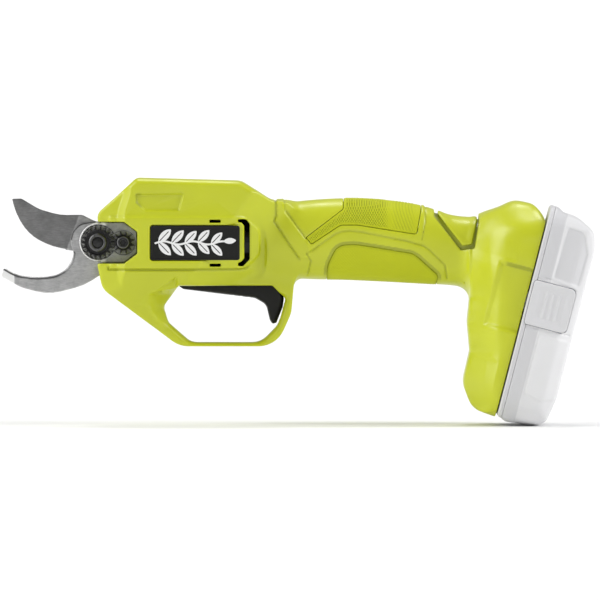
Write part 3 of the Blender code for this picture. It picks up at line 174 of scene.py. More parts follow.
def table(x, points):
    """Values read from a smooth curve through (x, value) points."""
    xs, vs = (np.array(column, float) for column in zip(*points, strict=True))
    slopes = np.gradient(vs, xs)
    flat = np.clip(x, xs[0], xs[-1])
    i = np.clip(np.searchsorted(xs, flat) - 1, 0, len(xs) - 2)
    span = xs[i + 1] - xs[i]
    t = (flat - xs[i]) / span
    return ((2 * t**3 - 3 * t**2 + 1) * vs[i] + (t**3 - 2 * t**2 + t) * span * slopes[i]
            + (3 * t**2 - 2 * t**3) * vs[i + 1] + (t**3 - t**2) * span * slopes[i + 1]
            ).astype(np.float32)


# ---------------------------------------------------------------- zero surfaces as meshes
CORNERS = [(i, j, k) for i in (0, 1) for j in (0, 1) for k in (0, 1)]


def sampled(values, places):
    """A grid's values between its points, at places given in cells."""
    low = np.clip(places.astype(int), 0, np.array(values.shape) - 2)
    t = places - low
    out = 0
    for corner in CORNERS:
        bits = corner[::-1]
        weight = np.prod(np.where(bits, t, 1 - t), axis=1)
        out = out + weight * values[tuple((low + bits).T)]
    return out


def zero_surface(values):
    """Points, in cells, and quads of a grid's zero surface, facing from negative to positive."""
    inside = values < 0
    ends = (slice(None, -1), slice(1, None))
    around = sum(inside[ends[i], ends[j], ends[k]].astype(np.uint8) for i, j, k in CORNERS)
    active = (around > 0) & (around < 8)
    cells = np.argwhere(active)
    index = np.full(active.shape, -1)
    index[active] = np.arange(len(cells))
    total, count = np.zeros((len(cells), 3)), np.zeros(len(cells))
    for corner in CORNERS:
        for axis, along in enumerate(np.eye(3, dtype=int)):
            if corner[axis]:
                continue
            va, vb = (values[tuple((cells + at).T)] for at in (corner, corner + along))
            crosses = (va < 0) != (vb < 0)
            t = np.where(crosses, va / np.where(crosses, va - vb, 1), 0)
            total += (corner + t[:, None] * along) * crosses[:, None]
            count += crosses
    quads = []
    for axis in range(3):
        side, up = (axis + 1) % 3, (axis + 2) % 3
        one, two = (inside[tuple(end if i == axis else slice(None) for i in range(3))]
                    for end in ends)
        for facing in (True, False):
            at = np.argwhere((one != two) & (one == facing))
            at = at[(at[:, side] > 0) & (at[:, up] > 0) & (at[:, side] < values.shape[side] - 1)
                    & (at[:, up] < values.shape[up] - 1)]
            ring = []
            for ds, du in ((1, 1), (0, 1), (0, 0), (1, 0)):
                cell = at.copy()
                cell[:, side] -= ds
                cell[:, up] -= du
                ring.append(index[tuple(cell.T)])
            quads.append(np.stack(ring if facing else ring[::-1], axis=1))
    return cells + total / count[:, None], np.concatenate(quads)


def settled(points, values):
    """Points drawn onto the zero surface along the field's slope."""
    for _ in range(3):
        slope = np.stack([sampled(values, points + half) - sampled(values, points - half)
                          for half in np.eye(3) / 2], axis=1)
        size = np.maximum((slope**2).sum(axis=1), 1e-6)
        move = -(sampled(values, points) / size)[:, None] * slope
        length = np.sqrt((move**2).sum(axis=1))
        points = points + move * np.minimum(1, 0.4 / np.maximum(length, 1e-9))[:, None]
    return points


def linked(name, data):
    obj = bpy.data.objects.new(name, data)
    bpy.context.scene.collection.objects.link(obj)
    return obj


def numbers(items, key, kind=np.float32, width=3):
    """One row of numbers for each of a mesh's items."""
    flat = np.zeros(len(items) * width, kind)
    items.foreach_get(key, flat)
    return flat.reshape(-1, width)


def store(mesh, name, values):
    made = mesh.attributes.new(name, "FLOAT", "POINT")
    made.data.foreach_set("value", values.astype(np.float32))


def mark_edges(mesh):
    """Stores how convex the surface is at each vertex, for edge wear and painted edge highlights.
    """
    count = len(mesh.vertices)
    points = numbers(mesh.vertices, "co")
    normals = numbers(mesh.vertex_normals, "vector")
    ends = numbers(mesh.edges, "vertices", np.int64, 2)
    along = points[ends[:, 1]] - points[ends[:, 0]]
    along /= np.maximum(np.sqrt((along**2).sum(axis=1)), 1e-9)[:, None]
    share = np.maximum(np.bincount(ends.ravel(), minlength=count), 1)
    bend = sum(np.bincount(at, sign * (normals[at] * along).sum(axis=1), count)
               for at, sign in ((ends[:, 0], -1), (ends[:, 1], 1))) / share
    near = sum(np.bincount(ends[:, a], bend[ends[:, 1 - a]], count) for a in (0, 1))
    store(mesh, "edge", (bend + near / share) / 2)


def finished(obj, node, body, slot, look=None, ground=None, sharp=42):
    """Shades and marks a piece, gives it a material, puts it on its body and hides its CAD node.

    ground(x, y, z) says how far a point has the material's second colour: a ground face on steel,
    a lighter ring on a screw head or a darker moulding on plastic; elsewhere it is painted light: a
    highlight on the head plate's rim, a shadow round the hook's crown, shade in grooves and
    hollows.
    """
    mesh = obj.data
    mesh.shade_smooth()
    mesh.set_sharp_from_angle(angle=radians(sharp))
    mark_edges(mesh)
    if ground:
        store(mesh, "ground", ground(*(numbers(mesh.vertices, "co") / MM).T))
    mesh.materials.append(LOOKS[look or slot])
    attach(obj, body)
    if node:
        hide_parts(node)


def moulded(name, node, body, slot, low, high, cell, field, ground=None, look=None, side=1,
            keep=1, place=None):
    """A finished piece that is the zero surface of field(x, y, z) inside a box.

    The box is given for the +Y side, and side -1 mirrors it.  keep is the share of the faces
    that is kept, and place turns and moves the points.
    """
    near, far = sorted((side * low[1], side * high[1]))
    low, high = (low[0], near, low[2]), (high[0], far, high[2])
    counts = [ceil((h - l) / cell) + 1 for l, h in zip(low, high, strict=True)]
    x, y, z = (l + cell * np.arange(n, dtype=np.float32) for l, n in zip(low, counts, strict=True))
    values = field(x[:, None, None], y[None, :, None], z[None, None, :])
    values = np.ascontiguousarray(np.broadcast_to(values, counts).astype(np.float32))
    points, quads = zero_surface(values)
    points = np.array(low) + settled(points, values) * cell
    if place is not None:
        turn = np.array(place)
        points = points @ turn[:3, :3].T + turn[:3, 3]
    mesh = bpy.data.meshes.new(name)
    mesh.from_pydata(points * MM, [], quads)
    obj = linked(name, mesh)
    if keep < 1:
        obj.modifiers.new("Decimate", "DECIMATE").ratio = keep
        bpy.context.view_layer.update()
        graph = bpy.context.evaluated_depsgraph_get()
        thin = bpy.data.meshes.new_from_object(obj.evaluated_get(graph))
        obj.modifiers.clear()
        obj.data = thin
    finished(obj, node, body, slot, look, ground)


# ---------------------------------------------------------------- materials
class Look:
    """A Principled material put together from nodes."""

    def __init__(self, name, colour, roughness, metallic=0, specular=0.5):
        self.material = bpy.data.materials.new(name)
        self.material.use_nodes = True
        self.tree = self.material.node_tree
        self.shader = self.tree.nodes["Principled BSDF"]
        self.feed(self.shader, {"Base Color": (*colour, 1), "Roughness": roughness,
                                "Metallic": metallic, "Specular IOR Level": specular})
        self.place = self.node("TexCoord").outputs["Object"]

    def feed(self, node, inputs):
        """Gives a node's inputs numbers, colours or the outputs of other nodes."""
        for key, value in inputs.items():
            if isinstance(value, bpy.types.NodeSocket):
                self.tree.links.new(value, node.inputs[key])
            else:
                node.inputs[key].default_value = value

    def node(self, kind, inputs=None, **settings):
        made = self.tree.nodes.new("ShaderNode" + kind)
        for key, value in settings.items():
            setattr(made, key, value)
        self.feed(made, inputs or {})
        return made

    def noise(self, scale, detail=3, stretch=(1, 1, 1), roughness=0.5, turn=(0, 0, 0)):
        mapping = self.node("Mapping", {"Vector": self.place, "Scale": stretch, "Rotation": turn})
        return self.node("TexNoise", {"Vector": mapping.outputs[0], "Scale": scale,
                                      "Detail": detail, "Roughness": roughness}).outputs["Fac"]

    def stored(self, name):
        return self.node("Attribute", attribute_name=name).outputs["Fac"]

    def ranged(self, value, low, high, to_low, to_high):
        return self.node("MapRange", {"Value": value, "From Min": low, "From Max": high,
                                      "To Min": to_low, "To Max": to_high}).outputs["Result"]

    def both(self, operation, a, b):
        return self.node("Math", {0: a, 1: b}, operation=operation).outputs[0]

    def ramp(self, value, stops):
        """A colour from a value through (position, colour) stops."""
        ramp = self.node("ValToRGB", {"Fac": value})
        elements = ramp.color_ramp.elements
        while len(elements) < len(stops):
            elements.new(0.5)
        for element, (position, colour) in zip(elements, stops, strict=True):
            element.position = position
            element.color = (*colour, 1)
        return ramp.outputs["Color"]

    def mixed(self, amount, first, second):
        """A mix of a first colour, from a node, and a second, from a node or three numbers."""
        second = (*second, 1) if isinstance(second, tuple) else second
        return self.node("Mix", {0: amount, 6: first, 7: second}, data_type="RGBA").outputs[2]

    def done(self, colour, roughness, height, strength, distance):
        bump = self.node("Bump", {"Strength": strength, "Distance": distance * MM,
                                  "Height": height})
        self.feed(self.shader, {"Base Color": colour, "Roughness": roughness,
                                "Normal": bump.outputs["Normal"]})
        return self.material


def shade(colour, factor):
    return tuple(min(1, c * factor) for c in colour)


def plastic(name, colour, roughness, grain=900, depth=0.02, vary=0.04, edge_wear_and_highlight=None, specular=0.4,
            ground=None):
    """Moulded plastic: a spark-eroded grain, slow changes of tone and gloss, painted edge
    highlights.
    """
    look = Look(name, colour, roughness, specular=specular)
    tone = look.ramp(look.noise(38), [(0.3, shade(colour, 1 - vary)),
                                      (0.7, shade(colour, 1 + vary))])
    # painted highlight: convex edges are lighter and glossier, as where they catch light, broken
    # into patches by noise
    edge_patches = look.noise(210, 5, roughness=0.7)
    wear_and_highlight_edges = look.both("MULTIPLY", look.ranged(look.stored("edge"), 0.07, 0.26, 0, 1),
                       look.ranged(edge_patches, 0.35, 0.65, 0.25, 1))
    if ground:
        tone = look.mixed(look.stored("ground"), tone, ground)
    gloss = look.ranged(look.noise(150, 4), 0.3, 0.7, roughness - 0.05, roughness + 0.07)
    return look.done(look.mixed(wear_and_highlight_edges, tone, edge_wear_and_highlight or shade(colour, 1.12)),
                     look.both("SUBTRACT", gloss, look.both("MULTIPLY", wear_and_highlight_edges, 0.1)),
                     look.noise(grain, 2), 0.35, depth)


def steel(name, colour, roughness, stretch=(1, 1, 1), turn=(0, 0, 0), mottle=0.18, scale=700,
          edge_wear_and_highlight=1.35, tip=None, ground=None):
    """Steel with fine scratches along one direction, cloudy tarnish and bright edges, partly
    painted highlight.
    """
    look = Look(name, colour, roughness, 1)
    cloud = look.noise(120, 5, roughness=0.65)
    scratch = look.noise(scale, 4, stretch, 0.6, turn)
    mixed = look.both("MULTIPLY", cloud, scratch)

    def mottled(colour, mottle):
        return look.ramp(mixed, [(0.14, shade(colour, 1 - mottle)), (0.25, colour),
                                 (0.38, shade(colour, 1 + mottle))])

    # convex edges take the edge tone: partly edge wear, partly painted highlight, as on the gears'
    # teeth
    wear_and_highlight_edges = look.both("MULTIPLY", look.ranged(look.stored("edge"), 0.06, 0.26, 0, 1),
                       look.ranged(cloud, 0.35, 0.6, 0.4, 1))
    tone = look.mixed(wear_and_highlight_edges, mottled(colour, mottle), shade(colour, edge_wear_and_highlight))
    if tip:
        # the hook's polished tip, bright beyond a line across the hook
        axes = look.node("SeparateXYZ", {0: look.place})
        tone = look.mixed(look.ranged(axes.outputs["X"], -0.1448, -0.1443, 1, 0), tone, tip)
    if ground:
        tone = look.mixed(look.stored("ground"), tone, mottled(ground, 0.25))
    return look.done(tone, look.ranged(scratch, 0.3, 0.7, roughness - 0.08, roughness + 0.12),
                     scratch, 0.2, 0.02)


GREEN = (0.515, 0.560, 0.011)


def make_looks():
    """Each material slot's look, and two that share a slot with another."""
    along_blade, along_hook = (0, radians(8), 0), (0, radians(28), 0)
    makers = {
        plastic: {
            # its second colour is painted shade in the grooves and undercuts of the housing and the
            # button
            "housing_green": (GREEN, 0.34, {"edge_wear_and_highlight": shade(GREEN, 1.25), "specular": 0.55,
                                            "ground": (0.27, 0.30, 0.012)}),
            # the pads' second colour is painted shade
            "grip_green": (shade(GREEN, 0.95), 0.62, {"grain": 1400, "depth": 0.04,
                                                      "specular": 0.25,
                                                      "ground": (0.29, 0.33, 0.012)}),
            "black_plastic": ((0.012, 0.012, 0.011), 0.5, {
                "vary": 0.15, "edge_wear_and_highlight": (0.04, 0.04, 0.037), "specular": 0.2}),
            "badge_black": ((0.010, 0.010, 0.009), 0.36, {
                "depth": 0.01, "vary": 0.1, "edge_wear_and_highlight": (0.04, 0.04, 0.04), "specular": 0.2}),
            "board": ((0.012, 0.11, 0.035), 0.35, {"grain": 500}),
            "wire_red": ((0.42, 0.012, 0.012), 0.35, {}),
            "wire_black": ((0.015, 0.015, 0.015), 0.35, {}),
            "pack_pale": ((0.73, 0.73, 0.74), 0.42, {
                "vary": 0.02, "edge_wear_and_highlight": (0.84, 0.84, 0.85), "ground": (0.60, 0.60, 0.615)}),
            "cell_wrap": ((0.03, 0.14, 0.36), 0.28, {}),
            "print_white": ((0.80, 0.80, 0.80), 0.42, {"vary": 0.02}),
        },
        steel: {
            "blade_steel": ((0.40, 0.40, 0.40), 0.42, {
                "stretch": (1, 1, 9), "turn": along_blade, "mottle": 0.35, "scale": 420,
                "edge_wear_and_highlight": 0.7, "ground": (0.205, 0.205, 0.205)}),
            # its second colour darkens the bite's chamfer and paints the shadow round the crown
            "hook_steel": ((0.43, 0.43, 0.43), 0.40, {
                "stretch": (1, 1, 7), "turn": along_hook, "mottle": 0.25, "scale": 420,
                "tip": (0.92, 0.92, 0.91), "ground": (0.10, 0.10, 0.10)}),
            # its second colour is a painted highlight on the head plate's rim
            "dark_metal": ((0.36, 0.365, 0.35), 0.5, {
                "mottle": 0.3, "edge_wear_and_highlight": 2, "ground": (0.80, 0.80, 0.79)}),
            # the bright edges of its teeth and rims are mostly painted highlight
            "gear_black": ((0.035, 0.035, 0.035), 0.34, {
                "mottle": 0.4, "edge_wear_and_highlight": 9, "ground": (0.13, 0.13, 0.13)}),
            "gear_steel": ((0.40, 0.40, 0.41), 0.32, {"stretch": (1, 5, 1)}),
            "aluminium_cast": ((0.62, 0.62, 0.63), 0.45, {"scale": 400}),
            "motor_steel": ((0.06, 0.06, 0.065), 0.4, {"stretch": (6, 1, 1), "mottle": 0.1}),
        },
    }
    return {name: maker(name, colour, roughness, **options) for maker, rows in makers.items()
            for name, (colour, roughness, options) in rows.items()}


# ---------------------------------------------------------------- the housing's form
HEAD_HALF = 27
HEAD_SIDE = rounded([
    (-102, 45, 5), (-93, 53, 8), (-82.5, 62.8, 4), (-29, 61.3, 8), (-12, 50.5, 14),
    (-5, 50.6, 3), (1, 42), (1, 20), (-1.6, 14), (-3.4, -6, 12), (-11, -23, 14),
    (-60.5, -23, 14), (-99.6, 6.4, 9), (-102, 18, 4)])
FINGER_OPENING = rounded([
    (-60.8, 8, 2), (-68.6, -2.8, 4), (-66, -11, 5), (-54.5, -21, 8), (-19, -21, 10),
    (-10.2, -12, 8), (-6.6, 1.2, 1.5), (-13, 8, 1.5)])
WINDOW = rounded([  # the gear window, its end half of an octagon
    (-118, 40.3), (-88.5, 40.3), (-82, 35.4), (-82, 24.6), (-88.5, 19.7), (-118, 19.7)])
GRIP_STATIONS = [  # x, z below, z above, half width
    (-14, 13.5, 49, 16.5), (2, 11.4, 51.1, 17.2), (24, 10.9, 52.4, 17.6), (44, 10, 51.5, 17.4),
    (62, 9, 48.9, 16.8), (80, 7.8, 44, 17), (97, 5, 43, 20)]
GRIP_POWER = 2.5
BASE_CORNERS = [  # in the dock frame, (u, v)
    (4, 56), (-2.2, 63.6, 7), (-8, 68.6, 5), (-17, 68, 9), (-31, 56.5, 8), (-33, 40),
    (-27.6, 14, 4), (-25.6, 1, 8), (-20.6, -13, 8), (-20.2, -29.5, 12), (-12.5, -40.5, 10),
    (4, -42.6)]
BASE_SIDE = rounded(BASE_CORNERS)
BASE_BACK = [corner[:2] for corner in BASE_CORNERS if corner[0] < -6]
BASE_HALF, BASE_CORNER = 37.5, 14
BASE_MIDDLE, BASE_TALL = 13.25, 55.75
BASE_CREASE = [  # (v, u) of the line where the side's flat band ends
    (-45, -5), (-32.8, -5.1), (-14.5, -5.4), (-12.2, -9.4), (-1.5, -10.2), (2, -15.6),
    (33, -15.6), (38, -8.6), (55, -10.2), (66, -8)]
BASE_RIDGE = [  # (v, u) of the line where the side turns in towards the grip
    (-45, -8), (-31.7, -9.1), (-15.6, -11.2), (-12.5, -10.2), (0.3, -16.6), (4.6, -17.6),
    (23.4, -18.4), (42.5, -24.8), (66, -31)]
LABEL_LOW, LABEL_HIGH, LABEL_FRONT = 3, 35, -15.4
BUTTON_OUTLINE = rounded([(71.2, 50), (71.2, 44.6), (83.9, 28.4, 0.8), (88.4, 29.2, 0.8),
                          (91.1, 41), (91.1, 50)])
BUTTON_POCKET = rounded([(69.4, 52), (69.4, 43.4, 1), (82.9, 26.2, 1), (89.7, 27, 1),
                         (91.9, 40), (91.9, 52)])
SKIRT_DEPTH = 1.5  # a skirt round the button fills its pocket this far under the grip's skin
SKIRT_ROOM = 2.2  # the pocket is undercut this far beyond its outline, for the skirt to tip
BUTTON_THICK, BUTTON_SINK = 2.4, 2.2
UPPER_GRIP = rounded([(23.2, 60), (23.2, 47, 2), (4.2, 32.6, 0.6), (6.8, 29.2, 0.8),
                      (21.5, 38.9, 5), (30, 39, 12), (60.4, 34.2, 1.5), (62.6, 47), (62.6, 60)])
LOWER_GRIP = rounded([(13.8, 0), (15.2, 18.5, 8), (20, 28.6, 7), (30, 28.9, 14), (59, 24.2, 10),
                      (71.5, 13, 3), (68, 0)])
GRIP_THICK, GRIP_ROOM = 1.4, 0.3  # the pads, and the space under them
LOWER_SINK = 0.5  # the lower pad's skin lies this far under the grip's
BADGE = rounded([(-75, 21.2, 1.2), (-29.6, 21.2, 1.2), (-29.6, 38.8, 1.2), (-75, 38.8, 1.2)])
SCREWS = [(-84.5, 52.3), (-31, 54.2), (5, 18.5), (50, 17), (95.5, -38)]
SCREW_HEAD_R, SCREW_R, POST_R = 3.4, 1.8, 4.3
WALL, GRIP_WALL = 2.3, 4.2
RIBS = [(-68, 15.3), (-30, 14.3)]  # (x, hole's radius) of the ribs round the gearbox and motor
TRIGGER_PIN_R = 1.8
NUT_ROOM_R = 7.4
BAND = rounded([(-96, 16.6), (-27, 16.6, 6), (-19.5, 24, 5), (-19.5, 36, 5), (-27.5, 43.4, 5),
                (-96, 43.4)])
HEAD_POCKET = rounded([(-82.3, 54.6, 0.6), (-58.3, 54.9, 0.6), (-60.6, 46.4, 0.8),
                       (-77.5, 46.4, 2.5), (-82, 50.5, 1)])
COLLAR = rounded([(-11.5, 56), (-12.2, 40.9), (0.8, 21.7), (6, 22.5), (6.6, 27.4), (-6.7, 45.6),
                  (-7, 56)])
PAD_FRAME = rounded([(4.6, 24.6), (18.9, 34.2, 4), (25, 35.9, 4), (55.8, 30.6), (63.6, 29, 2),
                     (64.9, 41.5), (63.9, 60), (23.2, 60), (23.2, 47), (4.2, 32.6)])
RAISED = [(HEAD_POCKET, -1.4), (COLLAR, 0.6), (PAD_FRAME, 0.4)]  # (outline, height)
PANEL_GROOVES = [  # (line, half width, depth)
    ([(-11.4, 56), (-11.4, 44), (-12.2, 40.9), (0.8, 21.7)], 0.75, 0.8),
    ([(-7.2, 56), (-6.8, 46.7), (3.9, 32.2)], 0.5, 0.6),
    ([(4.6, 24.4), (18.9, 34.2), (22.5, 35.6), (26, 35.9), (32, 35.3), (55.8, 30.6),
      (64.1, 28.2), (67.4, 25.9), (74.9, 18.6), (75.8, 12)], 0.6, 0.55),
    ([(63.1, 31.4), (64.9, 41.5), (64.2, 60)], 0.5, 0.4),
    ([(4.4, 24.2), (6.6, 20.7), (4.8, 13.5)], 0.6, 0.6)]
VENTS = [rounded([
    (-30.6, 42, 0.4), (-26.4, 42, 2.4), (-24.6, 39.6, 1), (-24.6, 21.6, 1), (-28, 18, 0.4),
    (-30.6, 18, 0.4), (-30.6, 19.6), (-28.8, 20.4), (-27.4, 22), (-27.4, 38.6), (-28.8, 40.4),
    (-30.6, 40.4)])]
VENTS += [[(-45, z - 0.75), (-39.3, z - 0.75), (-39.3, z + 0.75), (-45, z + 0.75)]
          for z in (18.6, 41)]
TRIGGER_SLOT = [(-65.6, 15), (-65.6, 7.9), (-61.8, 7.9), (-60, 3), (-14, 3), (-14, -9),
                (-7.4, -9), (-4.9, 1), (-4.9, 15)]
STEM_V = 33


def dock_place(x, z):
    """(u, v) in the dock frame of points in the side view."""
    c, s = cos(DOCK_TILT), sin(DOCK_TILT)
    dx, dz = x - DOCK_POINT[0], z - DOCK_POINT[1]
    return dx * c - dz * s, dx * s + dz * c


def grip_field(x, y, z):
    """The grip's squarish oval."""
    below, above, half = (table(x, [(s[0], s[i]) for s in GRIP_STATIONS]) for i in (1, 2, 3))
    size = (np.abs(y / half) ** GRIP_POWER + np.abs(
        (z - (above + below) / 2) / ((above - below) / 2)) ** GRIP_POWER) ** (1 / GRIP_POWER)
    return (size - 1) * half


def ramp_down(t, slope):
    """0 up to t = 0, then falling at a slope."""
    return -slope * np.maximum(t, 0)


def pad_sink(y):
    """How far the lower pad lies under the grip's skin: flush below, sunk at the sides."""
    return LOWER_SINK * step(4, 13, np.abs(y))


def head_width(x, z, side, opening):
    """Half the head's width; side and opening are the distances from those two outlines."""
    # a steep chamfer, then a gentler slope, to the front of a crease that leans back
    crease = -84.4 - 3.4 * step(58, 43, z) + 3 * step(16.6, 0, z)
    front = meet(HEAD_HALF + ramp_down(crease - x, 1.05),
                 22.6 + ramp_down(crease - 4.2 - x, 0.32), 0.4)
    width = join(HEAD_HALF + 0 * z, front, 0.4)
    # below the band the side falls in to the guard
    low = HEAD_HALF + ramp_down(16 - z, 0.5)
    width = join(width, low, 1)
    # a facet runs down to the front edge of the finger opening
    front_edge = -0.811 * (x + 60.8) + 0.585 * (z - 8)
    beyond = common(-0.504 * (x + 62) + 0.864 * (z - 12.9), x + 61.4,
                    -0.184 * (x + 76.4) - 0.983 * (z + 3.5))
    facet = low + ramp_down(8.2 - front_edge, 0.62) + 6 * step(-1.6, 1.6, beyond)
    width = join(width, facet, 0.6)
    # the rear narrows to the grip, and the rim all round is bevelled
    width = join(width, 16.6 + (HEAD_HALF - 16.6) * step(1, -25, x), 1)
    width = join(width, 24.4 + 1.2 * np.maximum(-side, 0), 0.7)
    # the guard's loop keeps its own width, rounded towards the opening
    loop = meet(width, 10 + 0 * x, 2)
    edge = 7.6 + (21 - 7.6) * step(3, 9, z)
    return join(loop, edge + 1.3 * np.maximum(opening, 0), 1.4)


def base_width(u, v):
    """Half the base's width: a flat band, a facet beside it and then a turn in to the grip."""
    def beyond(line):
        return np.maximum(np.interp(v, *zip(*line, strict=True)).astype(np.float32) - u, 0)

    facet = 0.75 + (0.28 - 0.75) * step(0, 6, v)
    width = BASE_HALF - facet * beyond(BASE_CREASE) - (1.2 - facet) * beyond(BASE_RIDGE)
    width = meet(width, 15 + 0 * width, 5)
    return join(width, 21 + 1.3 * soft_distance(BASE_BACK, u, v, 3), 6)


def corner_field(across, v):
    """A rounded rectangle across the dock."""
    qy = across - (BASE_HALF - BASE_CORNER)
    qv = np.abs(v - BASE_MIDDLE) - (BASE_TALL - BASE_CORNER)
    beyond = np.sqrt(np.maximum(qy, 0) ** 2 + np.maximum(qv, 0) ** 2)
    return beyond + np.minimum(np.maximum(qy, qv), 0) - BASE_CORNER


class Housing:
    """The housing's fields over one box of points."""

    def __init__(self, x, y, z):
        self.x, self.y, self.z, self.across = x, y, z, np.abs(y)
        self.u, self.v = dock_place(x, z)
        side, opening = outside(HEAD_SIDE, x, z), outside(FINGER_OPENING, x, z)
        head = meet(side, self.across - head_width(x, z, side, opening), 1.2)
        self.grip = grip_field(x, y, z)
        grip = meet(self.grip, slab(x, -16, 97), 1)
        edge = 2 + 2.4 * step(40, 50, self.v)  # the base's top is the most rounded
        base = meet(outside(BASE_SIDE, self.u, self.v),
                    self.across - base_width(self.u, self.v), edge)
        base = meet(base, corner_field(self.across, self.v), edge)
        whole = carve(join(join(head, grip, 5), base, 8), opening, 1.2)
        self.plain = meet(whole, self.u, 0.3)
        self.skin = meet(whole - self.relief(), self.u, 0.3)

    def relief(self):
        """How far the skin stands out, or in below zero, over the side view."""
        x, z, u, v = self.x, self.z, self.u, self.v
        # the band, with a groove along its lower edge
        band = outside(BAND, x, z)
        relief = step(0.4, -0.4, band) - 0.8 * step(0.9, 0.2, np.abs(band - 0.3)) * step(19, 17, z)
        for outline, height in RAISED:
            relief = relief + height * step(0.5, -0.5, outside(outline, x, z))
        # the slope down to the lower pad
        lower = outside(LOWER_GRIP, x, z)
        relief = relief - np.clip((1.9 - lower) * 0.36, 0, 0.7) * step(6, 13, self.across)
        for points, wide, deep in PANEL_GROOVES:
            relief = relief - deep * step(wide, 0.1, off_line(points, x, z))
        # the label's pocket runs out at the dock; its other walls slope
        pocket = np.minimum(np.clip((u - LABEL_FRONT + 2.4) / 2.4, 0, 1),
                            np.clip(np.minimum(v - LABEL_LOW, LABEL_HIGH - v) / 1.8 + 0.6, 0, 1))
        return relief - 1.7 * pocket

    def cavity(self):
        """The space inside, with the screw posts, ribs and collars left standing."""
        x, y, z = self.x, self.y, self.z
        in_grip = step(-6, -2, x) * step(97, 88, x)
        wall = (WALL + (GRIP_WALL - WALL) * in_grip
                + 2.8 * step(5, 3.5, outside(BUTTON_POCKET, x, z)) + 1.2 * step(90, 97, x))
        space = self.plain + wall
        for post in SCREWS:
            space = meet(space, POST_R - off_axis(x, z, post), 0.8)
        ribs = [common(np.abs(x - at) - 1.2, hole - off_axis(y, z, DRIVE), z - 44)
                for at, hole in RIBS]
        window = common(outside(WINDOW, x, z) - 2.2, y + 8.3)
        boss = common(off_axis(x, z, TRIGGER_PIVOT) - 3.3, self.across - 10.3)
        return common(space, *(-solid for solid in (*ribs, window, boss)))

    def cuts(self, left):
        """What is let into the skin or passes through it, each with its corner's rounding."""
        x, y, z, u, v, across = self.x, self.y, self.z, self.u, self.v, self.across
        for outline, sink, gap, corner in ((UPPER_GRIP, 0, 0.14, 0.3),
                                           (LOWER_GRIP, pad_sink(y), 0, 0.1)):
            yield common(outside(outline, x, z) - gap,
                         -(self.grip + GRIP_THICK + sink + GRIP_ROOM)), corner
        # the button's pocket, undercut all round for the button's skirt
        pocket, bottom = outside(BUTTON_POCKET, x, z), BUTTON_THICK + BUTTON_SINK
        yield common(pocket, -(self.grip + bottom)), 0.3
        yield common(pocket - SKIRT_ROOM, slab(self.grip, -bottom, 0.3 - SKIRT_DEPTH)), 0.2
        yield common(slab(x, 77.2, 83.6), across - 3, slab(z, 32, 50)), 0.3
        yield common(outside(BADGE, x, z) - 0.35, 25.7 - across), 0.5
        for vent in VENTS:
            yield outside(vent, x, z), 0.5
        # the trigger's slot and pin, the space behind the blades, the pack's stem and latches
        yield common(outside(TRIGGER_SLOT, x, z), across - 6.8), 0.5
        yield common(off_axis(x, z, TRIGGER_PIVOT) - TRIGGER_PIN_R, across - 9.8), 0.2
        yield common(x + 97, slab(y, -8.6, 14.4), slab(z, 10.5, 46)), 0.8
        stem = meet(slab(v, STEM_V - 13, STEM_V + 13), -32.8 - u, 3)
        yield common(stem, across - 13), 0.6
        yield common(slab(v, 13, 26), slab(across, 26.6, 34.5), -4 - u), 0.4
        if left:
            yield common(outside(WINDOW, x, z) - 0.3, y + 6.8), 0.8
            return
        yield common(off_axis(x, z, PIVOT) - NUT_ROOM_R, -y), 0.8
        for place in SCREWS:
            yield common(off_axis(x, z, place) - SCREW_HEAD_R, 8 - y), 0.6
            yield common(off_axis(x, z, place) - SCREW_R, -y), 0.2


def groove_painted_shade(x, y, z):
    """How far a point of the skin lies in a groove or on an undercut wall, where shade is painted.
    """
    u, v = dock_place(x, z)
    shares = [
        0.7 * step(2, 1.6, outside(LOWER_GRIP, x, z)),
        0.8 * step(0.5, 0.2, outside(UPPER_GRIP, x, z)),
        0.9 * step(0.5, 0.1, outside(BUTTON_POCKET, x, z)),
        0.55 * step(0.9, 0.4, np.abs(outside(BAND, x, z) - 0.2)) * step(19, 17, z),
        0.7 * step(0.8, 0.3, np.abs(outside(HEAD_POCKET, x, z))) * step(-79, -80.5, x),
        0.7 * step(1.3, 0.7, np.abs(v - LABEL_HIGH - 0.2)) * step(LABEL_FRONT, LABEL_FRONT + 3, u)]
    shares += [0.45 * step(wide + 0.2, 0.1, off_line(points, x, z))
               for points, wide, _ in PANEL_GROOVES]
    return common(*shares) * step(8, 12, np.abs(y))


def make_housing():
    for word, side in SIDES:
        def field(x, y, z):
            form = Housing(x, y, z)
            body = carve(form.skin, form.cavity(), 0.5)
            for cut, corner in form.cuts(side < 0):
                body = carve(body, cut, corner)
            return meet(body, PARTING - side * y, 0.3)

        moulded(f"housing_{word}_shell", f"housing_{word}", "tool", "housing_green",
                (-104, -1, -60.5), (128, 39, 65), 0.58, field, groove_painted_shade, side=side, keep=0.44)


